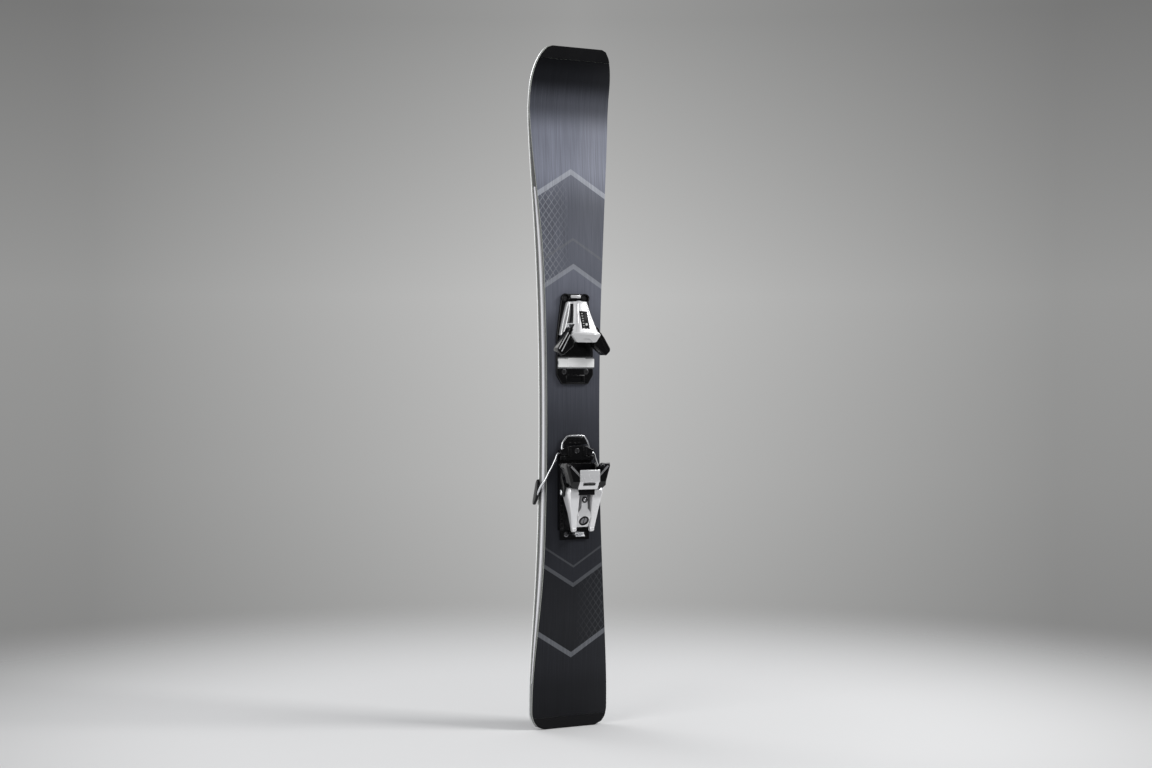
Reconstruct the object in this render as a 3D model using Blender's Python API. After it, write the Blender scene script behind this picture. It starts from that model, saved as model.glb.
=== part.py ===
"""Short alpine ski with a release binding and a ski brake, standing on its tail.

Metres, +Z up along the ski. The top sheet faces -Y and +X is the ski's right as seen
from there. The origin is the middle of the flat end face of the tail.
"""
import math

import bmesh
import bpy
from mathutils import Matrix, Vector

# Clearances: between pieces that touch, and round a pin or wire in its bore
GAP = 0.0003
BORE_GAP = 0.0003

# Ski outline, measured on the running base
SKI_LENGTH = 1.100
BASE_WAIST = 0.1035
BASE_SHOVEL = 0.1448
BASE_TAIL = 0.1385
WAIST_Z = 0.500
SHOVEL_Z = 1.014
TAIL_WIDE_Z = 0.045
TIP_CORNER_ACROSS = 0.0265
TIP_CORNER_ALONG = 0.065
TAIL_CORNER_ACROSS = 0.022
TAIL_CORNER_ALONG = 0.030
SIDECUT_FULLNESS = 2.0

# Ski thickness, turned-up tip and the lean of the side walls
MID_THICKNESS = 0.0225
TIP_THICKNESS = 0.0062
TAIL_THICKNESS = 0.0085
PLATEAU_REAR_Z = 0.290
PLATEAU_FRONT_Z = 0.730
TIP_THIN_Z = 1.030
TAIL_THIN_Z = 0.010
TIP_RISE = 0.030
TIP_TURN_LENGTH = 0.115
SIDE_LEAN = 0.004

# Layers of the ski
EDGE_WIDTH = 0.0020
EDGE_HEIGHT = 0.0020
EDGE_FLANGE_REACH = 0.0060
EDGE_FLANGE_THICKNESS = 0.0005
LAMINATE_THICKNESS = 0.0006
TOPSHEET_THICKNESS = 0.0007
SIDEWALL_WIDTH = 0.0080
CORE_REAR_Z = 0.075
TIP_SPACER_LENGTH = 0.115
CORE_FRONT_Z = SKI_LENGTH - TIP_SPACER_LENGTH
TAIL_GUARD_DEPTH = 0.0050
TAIL_GUARD_LIP = 0.0180
TIP_GUARD_LENGTH = 0.0190
GUARD_STANDOUT = 0.0004
STATION_STEP = 0.045
CORNER_STEPS = 5

# Binding screws
SCREW_SHANK_RADIUS = 0.0024
SCREW_HEAD_RADIUS = 0.0045
SCREW_HEAD_HEIGHT = 0.0028
SCREW_SOCKET_RADIUS = 0.0018
SCREW_SOCKET_DEPTH = 0.0013
SCREW_DEPTH_IN_SKI = 0.0130
SCREW_SIDES = 12

# Toe piece: places along the ski count from the boot's toe stop, heights from the deck
TOE_STOP_Z = 0.624
TOE_PLATE_THICKNESS = 0.0055
TOE_PLATE_HALF_WIDTH = 0.0330
TOE_PLATE_FRONT = 0.0790
TOE_PLATE_REAR = 0.0670
TOE_PLATE_NOSE_HALF_WIDTH = 0.0240
TOE_PLATE_HEEL_HALF_WIDTH = 0.0236
TOE_FRONT_SCREW_X = 0.0175
TOE_FRONT_SCREW_Z = 0.0720
TOE_REAR_SCREW_X = 0.0200
TOE_REAR_SCREW_Z = -0.0465
TOE_RAMP_HEIGHT = 0.0035
TOE_RAMP_LENGTH = 0.0310
TOE_RAMP_HALF_WIDTH = 0.0280
REAR_PAD_HALF_WIDTH = 0.0170
REAR_PAD_LENGTH = 0.0120
REAR_PAD_HEIGHT = 0.0015
HOUSING_REAR = 0.0120
HOUSING_FRONT = 0.0660
HOUSING_REAR_TOP = 0.0475
HOUSING_FRONT_TOP = 0.0275
HOUSING_FLANGE_TOP = 0.0140
HOUSING_REAR_FLANGE = 0.0300
HOUSING_FRONT_FLANGE = 0.0205
HOUSING_REAR_HUMP = 0.0262
HOUSING_FRONT_HUMP = 0.0138
HOUSING_REAR_CROWN = 0.0190
HOUSING_FRONT_CROWN = 0.0080
LIP_HALF_WIDTH = 0.0165
LIP_THICKNESS = 0.0080
LIP_DEPTH = 0.0152
WING_LOW = 0.0215
WING_HIGH = 0.0385
WING_PIVOT_X = 0.0210
WING_PIVOT_Z = 0.0190
WING_HUB_RADIUS = 0.0060
WING_PIN_RADIUS = 0.0020
WING_PIN_OVERLAP = 0.0022
WING_SPAN = 0.0950
WING_REACH = 0.0205
TOE_BORE_RADIUS = 0.0068
TOE_BORE_HEIGHT = 0.0180
TOE_SPRING_RADIUS = 0.0052
TOE_SPRING_WIRE = 0.0008
TOE_SPRING_TURNS = 5
TOE_PISTON_LENGTH = 0.0065
TOE_SPRING_LENGTH = 0.0155
TOE_NUT_LENGTH = 0.0050
TOE_NUT_TRAVEL = 0.00375
TOE_SCREW_RADIUS = 0.0025
TOE_SCREW_HEAD_RADIUS = 0.0062
TOE_WINDOW_HALF_WIDTH = 0.0068
TOE_WINDOW_REAR = 0.0220
TOE_WINDOW_FRONT = 0.0500
TOE_WINDOW_THICKNESS = 0.0012
POINTER_HALF_WIDTH = 0.0020
POINTER_THICKNESS = 0.0014
FRONT_CLIP_HALF_WIDTH = 0.0090
FRONT_CLIP_LENGTH = 0.0050
FRONT_CLIP_HEIGHT = 0.0030

# Anti-friction plate under the boot's toe
AFD_Z = -0.0325
AFD_HALF_WIDTH = 0.0320
AFD_LENGTH = 0.0140
AFD_THICKNESS = 0.0041
AFD_CROWN_HALF_WIDTH = 0.0170
AFD_CROWN_HEIGHT = 0.0007
AFD_RAIL_LENGTH = 0.0190
AFD_RAIL_THICKNESS = 0.0010
AFD_RIB_WIDTH = 0.0050
AFD_RIB_HEIGHT = 0.0018

# Heel piece: places along the ski count from the pivot pin, heights from the deck
HEEL_PIN_Z = 0.384
HEEL_PIN_HEIGHT = 0.0212
HEEL_PIN_RADIUS = 0.0030
HEEL_PIN_HEAD_RADIUS = 0.0046
HEEL_PIN_HEAD_LENGTH = 0.0012
TRACK_REAR_Z = 0.306
TRACK_FRONT_Z = 0.440
TRACK_FOOT_HALF_WIDTH = 0.0230
TRACK_HALF_WIDTH = 0.0260
TRACK_FOOT_HEIGHT = 0.0016
TRACK_FLANGE_THICKNESS = 0.0020
TRACK_SCREW_X = 0.0150
TRACK_SCREW_INSET = 0.0090
SHOE_WALL = 0.0030
SHOE_REAR = -0.0620
SHOE_STEP = 0.0140
SHOE_FRONT = 0.0585
SHOE_TOP = 0.0097
SHOE_FRONT_TOP = 0.0069
SHOE_TONGUE_HALF_WIDTH = 0.0150
SHOE_TONGUE_REACH = 0.0145
BODY_HALF_WIDTH = 0.0113
HEEL_AXIS_TILT_DEG = 60.0
HEEL_AXIS_Z = -0.0455
HEEL_AXIS_HEIGHT = 0.0362
HEEL_BORE_RADIUS = 0.0065
HEEL_BORE_DEPTH = 0.0240
HEEL_SCREW_RADIUS = 0.0022
HEEL_SCREW_HEAD_LENGTH = 0.0030
HEEL_NUT_START = 0.0050
HEEL_NUT_LENGTH = 0.0035
HEEL_SPRING_RADIUS = 0.0044
HEEL_SPRING_WIRE = 0.0007
HEEL_SPRING_TURNS = 5
HEEL_PLUNGER_LENGTH = 0.0032
RIVET_Z = -0.0115
RIVET_RADIUS = 0.0021
RIVET_HEAD_RADIUS = 0.0031
LEG_INNER_X = 0.0117
LEG_HUB_OUTER_X = 0.0290
LEG_END_OUTER_X = 0.0200
LEG_END_Z = -0.0590
LEG_BOSS_RADIUS = 0.0043
LEG_BOSS_INSET = 0.0006
CUP_CLEARANCE_RADIUS = 0.0273
CUP_LUG_THICKNESS = 0.0041
CUP_WING_X = 0.0395
CUP_WING_LOW = 0.0290
CUP_ROOF_LOW = 0.0415
CUP_TOP = 0.0570
CUP_FRONT = 0.0480
COVER_HALF_WIDTH = 0.0175
COVER_THICKNESS = 0.0022
TREADLE_HEIGHT = 0.0102
TREADLE_THICKNESS = 0.0030
TREADLE_REAR = 0.0165
TREADLE_FRONT = 0.0460
LATCH_HALF_WIDTH = 0.0080
LATCH_PIN_HEIGHT = 0.0070
LATCH_PIN_RADIUS = 0.0014
LATCH_EAR_THICKNESS = 0.0026

# Ski brake
BRAKE_AXLE_Z = 0.0620
BRAKE_AXLE_HEIGHT = 0.0072
BRAKE_WIRE_RADIUS = 0.0017
BRAKE_BASE_TOP = 0.0125
BRAKE_BASE_HALF_WIDTH = 0.0310
BRAKE_CENTRE_HALF_WIDTH = 0.0175
BRAKE_EAR_THICKNESS = 0.0040
BRAKE_LEG_X = 0.0240
BRAKE_BAR_X = 0.0148
BRAKE_BAR_Z = 0.0900
BRAKE_FOOT_X = 0.0573
BRAKE_FOOT_THICKNESS = 0.0052
BRAKE_PAD_THICKNESS = 0.0034

# Height of the ski's base above the origin's plane, and the deck that carries the binding
BASE_Y = TAIL_THICKNESS / 2
DECK = MID_THICKNESS + GAP


def at(x, z, height):
    """Point at a distance across the ski, a place along it and a height above the base."""
    return Vector((x, BASE_Y - height, z))


def toe(x, along, up):
    """Point of the toe piece, counted from the boot's toe stop and the deck."""
    return at(x, TOE_STOP_Z + along, DECK + up)


def heel(x, along, up):
    """Point of the heel piece, counted from its pivot pin and the deck."""
    return at(x, HEEL_PIN_Z + along, DECK + up)


MATERIALS = {}


def material(name, colour, roughness, metallic=0.0):
    """A Principled material, made once for each finish."""
    if name not in MATERIALS:
        made = bpy.data.materials.new(name)
        made.use_nodes = True
        shader = made.node_tree.nodes["Principled BSDF"]
        shader.inputs["Base Color"].default_value = (*colour, 1.0)
        shader.inputs["Roughness"].default_value = roughness
        shader.inputs["Metallic"].default_value = metallic
        made.diffuse_color = (*colour, 1.0)
        MATERIALS[name] = made
    return MATERIALS[name]


def finish_object(name, data, finish):
    """Link an object at the origin and give it its own copy of a finish."""
    thing = bpy.data.objects.new(name, data)
    bpy.context.scene.collection.objects.link(thing)
    if finish is not None:
        own = material(*finish).copy()
        own.name = name + "_finish"
        thing.data.materials.append(own)
    return thing


def object_from_bmesh(name, bm, finish, smooth_angle=30.0):
    """Close a bmesh into an object with outward faces and smooth round parts."""
    bmesh.ops.recalc_face_normals(bm, faces=bm.faces)
    mesh = bpy.data.meshes.new(name)
    bm.to_mesh(mesh)
    bm.free()
    mesh.shade_smooth()
    mesh.set_sharp_from_angle(angle=math.radians(smooth_angle))
    return finish_object(name, mesh, finish)


def loft(name, rings, finish):
    """Skin a row of rings with equal point counts and cap both ends."""
    bm = bmesh.new()
    loops = [[bm.verts.new(point) for point in ring] for ring in rings]
    count = len(loops[0])
    for near, far in zip(loops, loops[1:]):
        for i in range(count):
            j = (i + 1) % count
            bm.faces.new((near[i], near[j], far[j], far[i]))
    bm.faces.new(list(reversed(loops[0])))
    bm.faces.new(loops[-1])
    return object_from_bmesh(name, bm, finish)


def extrude_outline(name, outline, travel, finish):
    """Extrude a flat outline of 3-D points along a vector."""
    bm = bmesh.new()
    face = bm.faces.new([bm.verts.new(point) for point in outline])
    grown = bmesh.ops.extrude_face_region(bm, geom=[face])
    moved = [item for item in grown["geom"] if isinstance(item, bmesh.types.BMVert)]
    bmesh.ops.translate(bm, verts=moved, vec=travel)
    return object_from_bmesh(name, bm, finish)


def plan_prism(name, place, outline, low, high, finish):
    """Extrude an outline of (across, along) pairs between two heights."""
    points = [place(x, along, low) for x, along in outline]
    return extrude_outline(name, points, Vector((0.0, low - high, 0.0)), finish)


def side_prism(name, place, profile, x_low, x_high, finish):
    """Extrude a side profile of (along, up) pairs from one place across the ski to another."""
    points = [place(x_low, along, up) for along, up in profile]
    return extrude_outline(name, points, Vector((x_high - x_low, 0.0, 0.0)), finish)


def block(name, place, x_range, along_range, up_range, finish=None):
    """Straight-sided block between two places on each of its three directions."""
    (x0, x1), (a0, a1), (u0, u1) = x_range, along_range, up_range
    return plan_prism(name, place, [(x0, a0), (x1, a0), (x1, a1), (x0, a1)], u0, u1, finish)


def turned(name, start, direction, profile, finish=None, sides=SCREW_SIDES):
    """Turn a profile of (radius, distance) pairs round an axis; it begins and ends on the axis."""
    bm = bmesh.new()
    verts = [bm.verts.new((radius, 0.0, distance)) for radius, distance in profile]
    edges = [bm.edges.new(pair) for pair in zip(verts, verts[1:])]
    bmesh.ops.spin(bm, geom=verts + edges, cent=(0, 0, 0), axis=(0, 0, 1),
                   angle=math.tau, steps=sides, use_merge=True)
    bmesh.ops.remove_doubles(bm, verts=bm.verts, dist=0.000001)
    turn = direction.to_track_quat("Z", "Y").to_matrix().to_4x4()
    bmesh.ops.transform(bm, matrix=Matrix.Translation(start) @ turn, verts=bm.verts)
    return object_from_bmesh(name, bm, finish)


def rod(name, start, end, radius, finish=None, sides=SCREW_SIDES):
    """Plain round bar between two points."""
    length = (end - start).length
    profile = [(0.0, 0.0), (radius, 0.0), (radius, length), (0.0, length)]
    return turned(name, start, end - start, profile, finish, sides)


def ring_piece(name, start, end, outer, inner, finish, sides=SCREW_SIDES):
    """Round collar with a hole through it."""
    piece = rod(name, start, end, outer, finish, sides)
    reach = (end - start).normalized() * 0.002
    cut(piece, rod(name + "_hole", start - reach, end + reach, inner, sides=sides))
    return piece


def combine(target, other, operation):
    """Boolean one object with another, which is kept only as a guide."""
    change = target.modifiers.new(operation.title() + "_" + other.name, "BOOLEAN")
    change.operation = operation
    change.solver = "EXACT"
    change.object = other
    other.hide_render = True
    other.display_type = "WIRE"
    other.parent = target


def cut(target, cutter):
    """Take a cutter away from a piece."""
    combine(target, cutter, "DIFFERENCE")


def join(target, other):
    """Weld a second shape to a piece."""
    combine(target, other, "UNION")


def soften(target, width, angle=35.0, segments=1):
    """Break the sharp edges of a piece."""
    bevel = target.modifiers.new("Softened_edges", "BEVEL")
    bevel.width = width
    bevel.segments = segments
    bevel.limit_method = "ANGLE"
    bevel.angle_limit = math.radians(angle)


def tube(name, points, radius, finish, resolution=2):
    """Round wire through a row of points, with closed ends."""
    curve = bpy.data.curves.new(name, "CURVE")
    curve.dimensions = "3D"
    curve.bevel_depth = radius
    curve.bevel_resolution = resolution
    curve.use_fill_caps = True
    spline = curve.splines.new("POLY")
    spline.points.add(len(points) - 1)
    for slot, point in zip(spline.points, points):
        slot.co = (*point, 1.0)
    spline.use_smooth = True
    return finish_object(name, curve, finish)


def smooth_path(corners, steps):
    """Points on a smooth curve through a row of corners."""
    padded = [corners[0] * 2 - corners[1], *corners, corners[-1] * 2 - corners[-2]]
    points = []
    for before, here, there, after in zip(padded, padded[1:], padded[2:], padded[3:]):
        for step in range(steps):
            t = step / steps
            pull = (there - before) * (t - 2 * t ** 2 + t ** 3) / 2
            push = (after - here) * (t ** 3 - t ** 2) / 2
            points.append(here * (1 - 3 * t ** 2 + 2 * t ** 3) + there * (3 * t ** 2 - 2 * t ** 3) + pull + push)
    points.append(corners[-1])
    return points


def coil(name, start, direction, radius, wire_radius, length, turns, finish):
    """Compression spring with its first and last turns set at a steady pitch."""
    axis = direction.normalized()
    side = Vector((1.0, 0.0, 0.0))
    other = axis.cross(side)
    steps = turns * 9
    rise = length - 2 * wire_radius
    points = []
    for step in range(steps + 1):
        angle = math.tau * turns * step / steps
        outward = side * math.cos(angle) + other * math.sin(angle)
        points.append(start + axis * (wire_radius + rise * step / steps) + outward * radius)
    pitch_gap = rise / turns - 2 * wire_radius
    print(name, "least gap between turns, mm:", round(pitch_gap * 1000, 2))
    return tube(name, points, wire_radius, finish, resolution=1)


for stale in list(bpy.data.objects):
    bpy.data.objects.remove(stale, do_unlink=True)

BLACK_PLASTIC = ("black_plastic", (0.018, 0.018, 0.020), 0.45)
SILVER_METAL = ("silver_metal", (0.70, 0.70, 0.71), 0.32, 0.9)
SPRING_STEEL = ("spring_steel", (0.62, 0.63, 0.65), 0.28, 1.0)
EDGE_STEEL = ("edge_steel", (0.55, 0.56, 0.58), 0.25, 1.0)
BASE_PLASTIC = ("base_plastic", (0.012, 0.012, 0.014), 0.35)
GLASS_CLOTH = ("glass_cloth", (0.62, 0.66, 0.58), 0.55)
CORE_WOOD = ("core_wood", (0.62, 0.44, 0.26), 0.70)
SPACER_PLASTIC = ("spacer_plastic", (0.20, 0.20, 0.21), 0.60)
SIDEWALL_PLASTIC = ("sidewall_plastic", (0.68, 0.68, 0.72), 0.35)
TOPSHEET_FILM = ("topsheet_film", (0.055, 0.060, 0.075), 0.32)
GUARD_PLASTIC = ("guard_plastic", (0.022, 0.022, 0.024), 0.50)
WHITE_PLASTIC = ("white_plastic", (0.86, 0.86, 0.85), 0.30)
CLEAR_PLASTIC = ("clear_plastic", (0.05, 0.05, 0.05), 0.10)
MARKER_PLASTIC = ("marker_plastic", (0.80, 0.80, 0.78), 0.45)


# The ski's outline, thickness and turned-up tip


def smooth_step(share):
    """Ease from 0 to 1 with level ends."""
    held = min(max(share, 0.0), 1.0)
    return held * held * (3 - 2 * held)


def thickness(z):
    """Thickness of the whole ski at a place along it."""
    if z > PLATEAU_FRONT_Z:
        fall = smooth_step((z - PLATEAU_FRONT_Z) / (TIP_THIN_Z - PLATEAU_FRONT_Z))
        return MID_THICKNESS + (TIP_THICKNESS - MID_THICKNESS) * fall
    fall = smooth_step((PLATEAU_REAR_Z - z) / (PLATEAU_REAR_Z - TAIL_THIN_Z))
    return MID_THICKNESS + (TAIL_THICKNESS - MID_THICKNESS) * fall


def rise(z):
    """Height of the running base above its flat part, where the tip turns up."""
    turned_length = max(z - (SKI_LENGTH - TIP_TURN_LENGTH), 0.0)
    return TIP_RISE * (turned_length / TIP_TURN_LENGTH) ** 2


def side_half(z):
    """Half width of the base between the rounded corners."""
    widest, place = (BASE_SHOVEL, SHOVEL_Z) if z > WAIST_Z else (BASE_TAIL, TAIL_WIDE_Z)
    share = min((z - WAIST_Z) / (place - WAIST_Z), 1.0)
    fullness = share ** 2 + SIDECUT_FULLNESS * share ** 5 * (1 - share)
    return (BASE_WAIST + (widest - BASE_WAIST) * fullness) / 2


def half_width(z, inset):
    """Half width of the outline drawn in by an inset, round the corners too."""
    tip_centre = SKI_LENGTH - TIP_CORNER_ALONG
    if z > tip_centre:
        across, along, out = TIP_CORNER_ACROSS, TIP_CORNER_ALONG, z - tip_centre
    elif z < TAIL_CORNER_ALONG:
        across, along, out = TAIL_CORNER_ACROSS, TAIL_CORNER_ALONG, TAIL_CORNER_ALONG - z
    else:
        return side_half(z) - inset
    share = min(out / (along - inset), 1.0)
    return side_half(z) - across + (across - inset) * math.sqrt(1 - share ** 2)


def lean(height):
    """How far the leaning side wall stands in from the base's outline at a height."""
    return SIDE_LEAN * height / MID_THICKNESS


def corner_angles():
    """Even steps round a quarter of a corner."""
    return [math.radians(90.0 * (step + 1) / CORNER_STEPS) for step in range(CORNER_STEPS)]


def side_stations():
    """Places along the sides between the rounded corners."""
    first, last = TAIL_CORNER_ALONG, SKI_LENGTH - TIP_CORNER_ALONG
    count = round((last - first) / STATION_STEP)
    return [first + (last - first) * step / count for step in range(count + 1)]


def tail_angles():
    """Even steps round a tail corner, from where the tail guard ends."""
    last = math.asin((TAIL_CORNER_ALONG - LAYER_START) / TAIL_CORNER_ALONG)
    return [last * (1 - step / CORNER_STEPS) for step in range(CORNER_STEPS)]


def stations(z_from, z_to, inset):
    """Places along the ski for a layer that starts and stops at two places."""
    tip_centre = SKI_LENGTH - TIP_CORNER_ALONG
    tail = [TAIL_CORNER_ALONG - (TAIL_CORNER_ALONG - inset) * math.sin(a) for a in tail_angles()]
    tip = [tip_centre + (TIP_CORNER_ALONG - inset) * math.sin(a) for a in corner_angles()]
    closest = STATION_STEP / 40
    inner = [z for z in tail + side_stations() + tip if z_from + closest < z < z_to - closest]
    return [z_from, *sorted(inner), z_to]


def layer(name, z_from, z_to, inset, low, high, finish):
    """Layer across the whole ski; low and high give its heights above the base at a place."""
    rings = []
    for z in stations(z_from, z_to, inset):
        below, above = low(z), high(z)
        wide = half_width(z, inset) - lean(below)
        narrow = half_width(z, inset) - lean(above)
        base = rise(z)
        rings.append([at(-wide, z, base + below), at(wide, z, base + below),
                      at(narrow, z, base + above), at(-narrow, z, base + above)])
    return loft(name, rings, finish)


CORE_LOW = EDGE_HEIGHT + GAP + LAMINATE_THICKNESS + GAP
SKIN_STACK = TOPSHEET_THICKNESS + GAP + LAMINATE_THICKNESS + GAP
LAYER_START = TAIL_GUARD_DEPTH + GAP


def flat(height):
    """A height that is the same all along the ski."""
    return lambda z: height


def below_top(depth):
    """A height that stays a set depth under the ski's upper surface."""
    return lambda z: thickness(z) - depth


def make_base_and_edges():
    """Running base between two steel edges that meet at the middle of the tip."""
    flange_low = EDGE_HEIGHT - EDGE_FLANGE_THICKNESS
    layer("running_base", LAYER_START, SKI_LENGTH - EDGE_WIDTH - GAP, EDGE_WIDTH + GAP,
          flat(0.0), flat(flange_low - GAP), BASE_PLASTIC)

    def path(inset):
        tail_side = side_half(0.0) - TAIL_CORNER_ACROSS
        tip_side = side_half(SKI_LENGTH) - TIP_CORNER_ACROSS
        tip_centre = SKI_LENGTH - TIP_CORNER_ALONG
        points = [(tail_side + (TAIL_CORNER_ACROSS - inset) * math.cos(a),
                   TAIL_CORNER_ALONG - (TAIL_CORNER_ALONG - inset) * math.sin(a)) for a in tail_angles()]
        points += [(side_half(z) - inset, z) for z in side_stations()]
        points += [(tip_side + (TIP_CORNER_ACROSS - inset) * math.cos(a),
                    tip_centre + (TIP_CORNER_ALONG - inset) * math.sin(a)) for a in corner_angles()]
        points.append((GAP / 2, SKI_LENGTH - inset))
        return points

    outline = ((0.0, 0.0), (0.0, EDGE_HEIGHT), (EDGE_FLANGE_REACH, EDGE_HEIGHT),
               (EDGE_FLANGE_REACH, flange_low), (EDGE_WIDTH, flange_low), (EDGE_WIDTH, 0.0))
    tracks = [(path(inset), height) for inset, height in outline]
    for side, sign in (("left", -1), ("right", 1)):
        rings = []
        for i in range(len(tracks[0][0])):
            rings.append([at(sign * points[i][0], points[i][1], rise(points[i][1]) + height)
                          for points, height in tracks])
        loft("steel_edge_" + side, rings, EDGE_STEEL)


def make_core_and_skins():
    """Wood core and its end spacers between two glass laminates, under the top sheet."""
    skin_inset = GAP
    laminate_low = EDGE_HEIGHT + GAP
    layer("lower_laminate", LAYER_START, SKI_LENGTH - skin_inset, skin_inset,
          flat(laminate_low), flat(laminate_low + LAMINATE_THICKNESS), GLASS_CLOTH)
    layer("wood_core", CORE_REAR_Z, CORE_FRONT_Z, SIDEWALL_WIDTH + GAP,
          flat(CORE_LOW), below_top(SKIN_STACK), CORE_WOOD)
    layer("tail_spacer", LAYER_START, CORE_REAR_Z - GAP, skin_inset,
          flat(CORE_LOW), below_top(SKIN_STACK), SPACER_PLASTIC)
    layer("tip_spacer", CORE_FRONT_Z + GAP, SKI_LENGTH - skin_inset, skin_inset,
          flat(CORE_LOW), below_top(SKIN_STACK), SPACER_PLASTIC)
    layer("upper_laminate", LAYER_START, SKI_LENGTH - skin_inset, skin_inset,
          below_top(TOPSHEET_THICKNESS + GAP + LAMINATE_THICKNESS),
          below_top(TOPSHEET_THICKNESS + GAP), GLASS_CLOTH)
    layer("topsheet", TAIL_GUARD_LIP + GAP, SKI_LENGTH - TIP_GUARD_LENGTH - GAP, skin_inset,
          below_top(TOPSHEET_THICKNESS), below_top(0.0), TOPSHEET_FILM)


def make_sidewalls():
    """Plastic side walls on both sides of the core."""
    for side, sign in (("left", -1), ("right", 1)):
        rings = []
        for z in stations(CORE_REAR_Z, CORE_FRONT_Z, 0.0):
            top = thickness(z) - SKIN_STACK
            outer = half_width(z, GAP)
            inner = half_width(z, SIDEWALL_WIDTH)
            base = rise(z)
            rings.append([at(sign * (outer - lean(CORE_LOW)), z, base + CORE_LOW),
                          at(sign * (outer - lean(top)), z, base + top),
                          at(sign * (inner - lean(top)), z, base + top),
                          at(sign * (inner - lean(CORE_LOW)), z, base + CORE_LOW)])
        loft("sidewall_" + side, rings, SIDEWALL_PLASTIC)


def make_guards():
    """Guard plates that close the top sheet at the tip and cap the whole tail."""
    layer("tip_guard", SKI_LENGTH - TIP_GUARD_LENGTH, SKI_LENGTH - GAP, GAP,
          below_top(TOPSHEET_THICKNESS), below_top(-GUARD_STANDOUT), GUARD_PLASTIC)
    guard = layer("tail_guard", 0.0, TAIL_GUARD_DEPTH, 0.0, flat(0.0), below_top(0.0), GUARD_PLASTIC)
    lip = layer("tail_guard_lip", 0.0, TAIL_GUARD_LIP, GAP,
                below_top(TOPSHEET_THICKNESS), below_top(-GUARD_STANDOUT), None)
    join(guard, lip)


SCREWS = []


def binding_screw(name, place, x, along, seat_up, finish=SPRING_STEEL):
    """Screw with a driver socket, from the top of its head down into the ski's core."""
    top = place(x, along, seat_up)
    down = Vector((0.0, 1.0, 0.0))
    depth = seat_up + GAP + SCREW_DEPTH_IN_SKI
    socket_edge = SCREW_SOCKET_RADIUS
    turned(name, top, down,
           [(0.0, SCREW_SOCKET_DEPTH), (socket_edge, SCREW_SOCKET_DEPTH), (socket_edge, 0.0),
            (SCREW_HEAD_RADIUS, 0.0), (SCREW_HEAD_RADIUS, SCREW_HEAD_HEIGHT / 2),
            (SCREW_SHANK_RADIUS, SCREW_HEAD_HEIGHT), (SCREW_SHANK_RADIUS, depth), (0.0, depth)], finish)
    SCREWS.append((top, depth))


def screw_hole(target, top, depth):
    """Clearance for a screw's head and shank, open above the head."""
    up = Vector((0.0, -1.0, 0.0))
    wide = SCREW_HEAD_RADIUS + BORE_GAP
    slim = SCREW_SHANK_RADIUS + BORE_GAP
    reach = 0.02
    name = target.name + "_hole_" + str(len(target.modifiers))
    cut(target, turned(name, top - up * (depth + GAP), up,
                       [(0.0, 0.0), (slim, 0.0), (slim, depth + GAP - SCREW_HEAD_HEIGHT - GAP),
                        (wide, depth - SCREW_HEAD_HEIGHT / 2), (wide, depth + reach), (0.0, depth + reach)]))


def shank_hole(target, top, depth):
    """Clearance for a screw's shank alone."""
    down = Vector((0.0, 1.0, 0.0))
    name = target.name + "_bore_" + str(len(target.modifiers))
    cut(target, rod(name, top, top + down * (depth + GAP), SCREW_SHANK_RADIUS + BORE_GAP))


# Toe piece


def mirrored(half_outline):
    """Close an outline from its right half, listed from the front middle to the rear middle."""
    return half_outline + [(-x, along) for x, along in reversed(half_outline)]


def make_toe_plate():
    """Moulded base of the toe piece, with the ramp and the rear pad, on four screws."""
    front, rear = TOE_PLATE_FRONT, -TOE_PLATE_REAR
    half = TOE_PLATE_HALF_WIDTH
    nose_taper = 0.0040
    heel_taper = 0.0150
    shoulder = AFD_Z + AFD_RAIL_LENGTH / 2 + TOE_RAMP_LENGTH
    outline = mirrored([(TOE_PLATE_NOSE_HALF_WIDTH - nose_taper, front),
                        (TOE_PLATE_NOSE_HALF_WIDTH, front - nose_taper), (half, shoulder),
                        (half, rear + heel_taper), (TOE_PLATE_HEEL_HALF_WIDTH, rear)])
    plate = plan_prism("toe_base_plate", toe, outline, 0.0, TOE_PLATE_THICKNESS, BLACK_PLASTIC)
    soften(plate, 0.0010)
    ramp_front = HOUSING_REAR - GAP
    ramp_top = TOE_PLATE_THICKNESS + TOE_RAMP_HEIGHT
    ramp_rear = AFD_Z + AFD_RAIL_LENGTH / 2 + 2 * GAP
    ramp = side_prism("toe_ramp", toe, [(ramp_front, 0.001), (ramp_front, ramp_top), (ramp_rear, ramp_top),
                                        (ramp_rear, 0.001)], -TOE_RAMP_HALF_WIDTH, TOE_RAMP_HALF_WIDTH, None)
    join(plate, ramp)
    pad_rear = rear + 0.002
    join(plate, block("toe_rear_pad", toe, (-REAR_PAD_HALF_WIDTH, REAR_PAD_HALF_WIDTH),
                      (pad_rear, pad_rear + REAR_PAD_LENGTH),
                      (0.001, TOE_PLATE_THICKNESS + REAR_PAD_HEIGHT)))
    seats = []
    for end, x, along in (("front", TOE_FRONT_SCREW_X, TOE_FRONT_SCREW_Z),
                          ("rear", TOE_REAR_SCREW_X, TOE_REAR_SCREW_Z)):
        for side, sign in (("left", -1), ("right", 1)):
            binding_screw("toe_screw_" + end + "_" + side, toe, sign * x, along, TOE_PLATE_THICKNESS)
            seats.append(SCREWS[-1])
    for top, depth in seats:
        screw_hole(plate, top, depth)


def housing_share(along):
    """Share of the way from the housing's rear to its front."""
    return (along - HOUSING_REAR) / (HOUSING_FRONT - HOUSING_REAR)


def blend(rear, front, along):
    """A housing size between its rear and its front value."""
    return rear + (front - rear) * housing_share(along)


def crown_up(along):
    """Height of the housing's sloping top."""
    return blend(HOUSING_REAR_TOP, HOUSING_FRONT_TOP, along)


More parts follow.
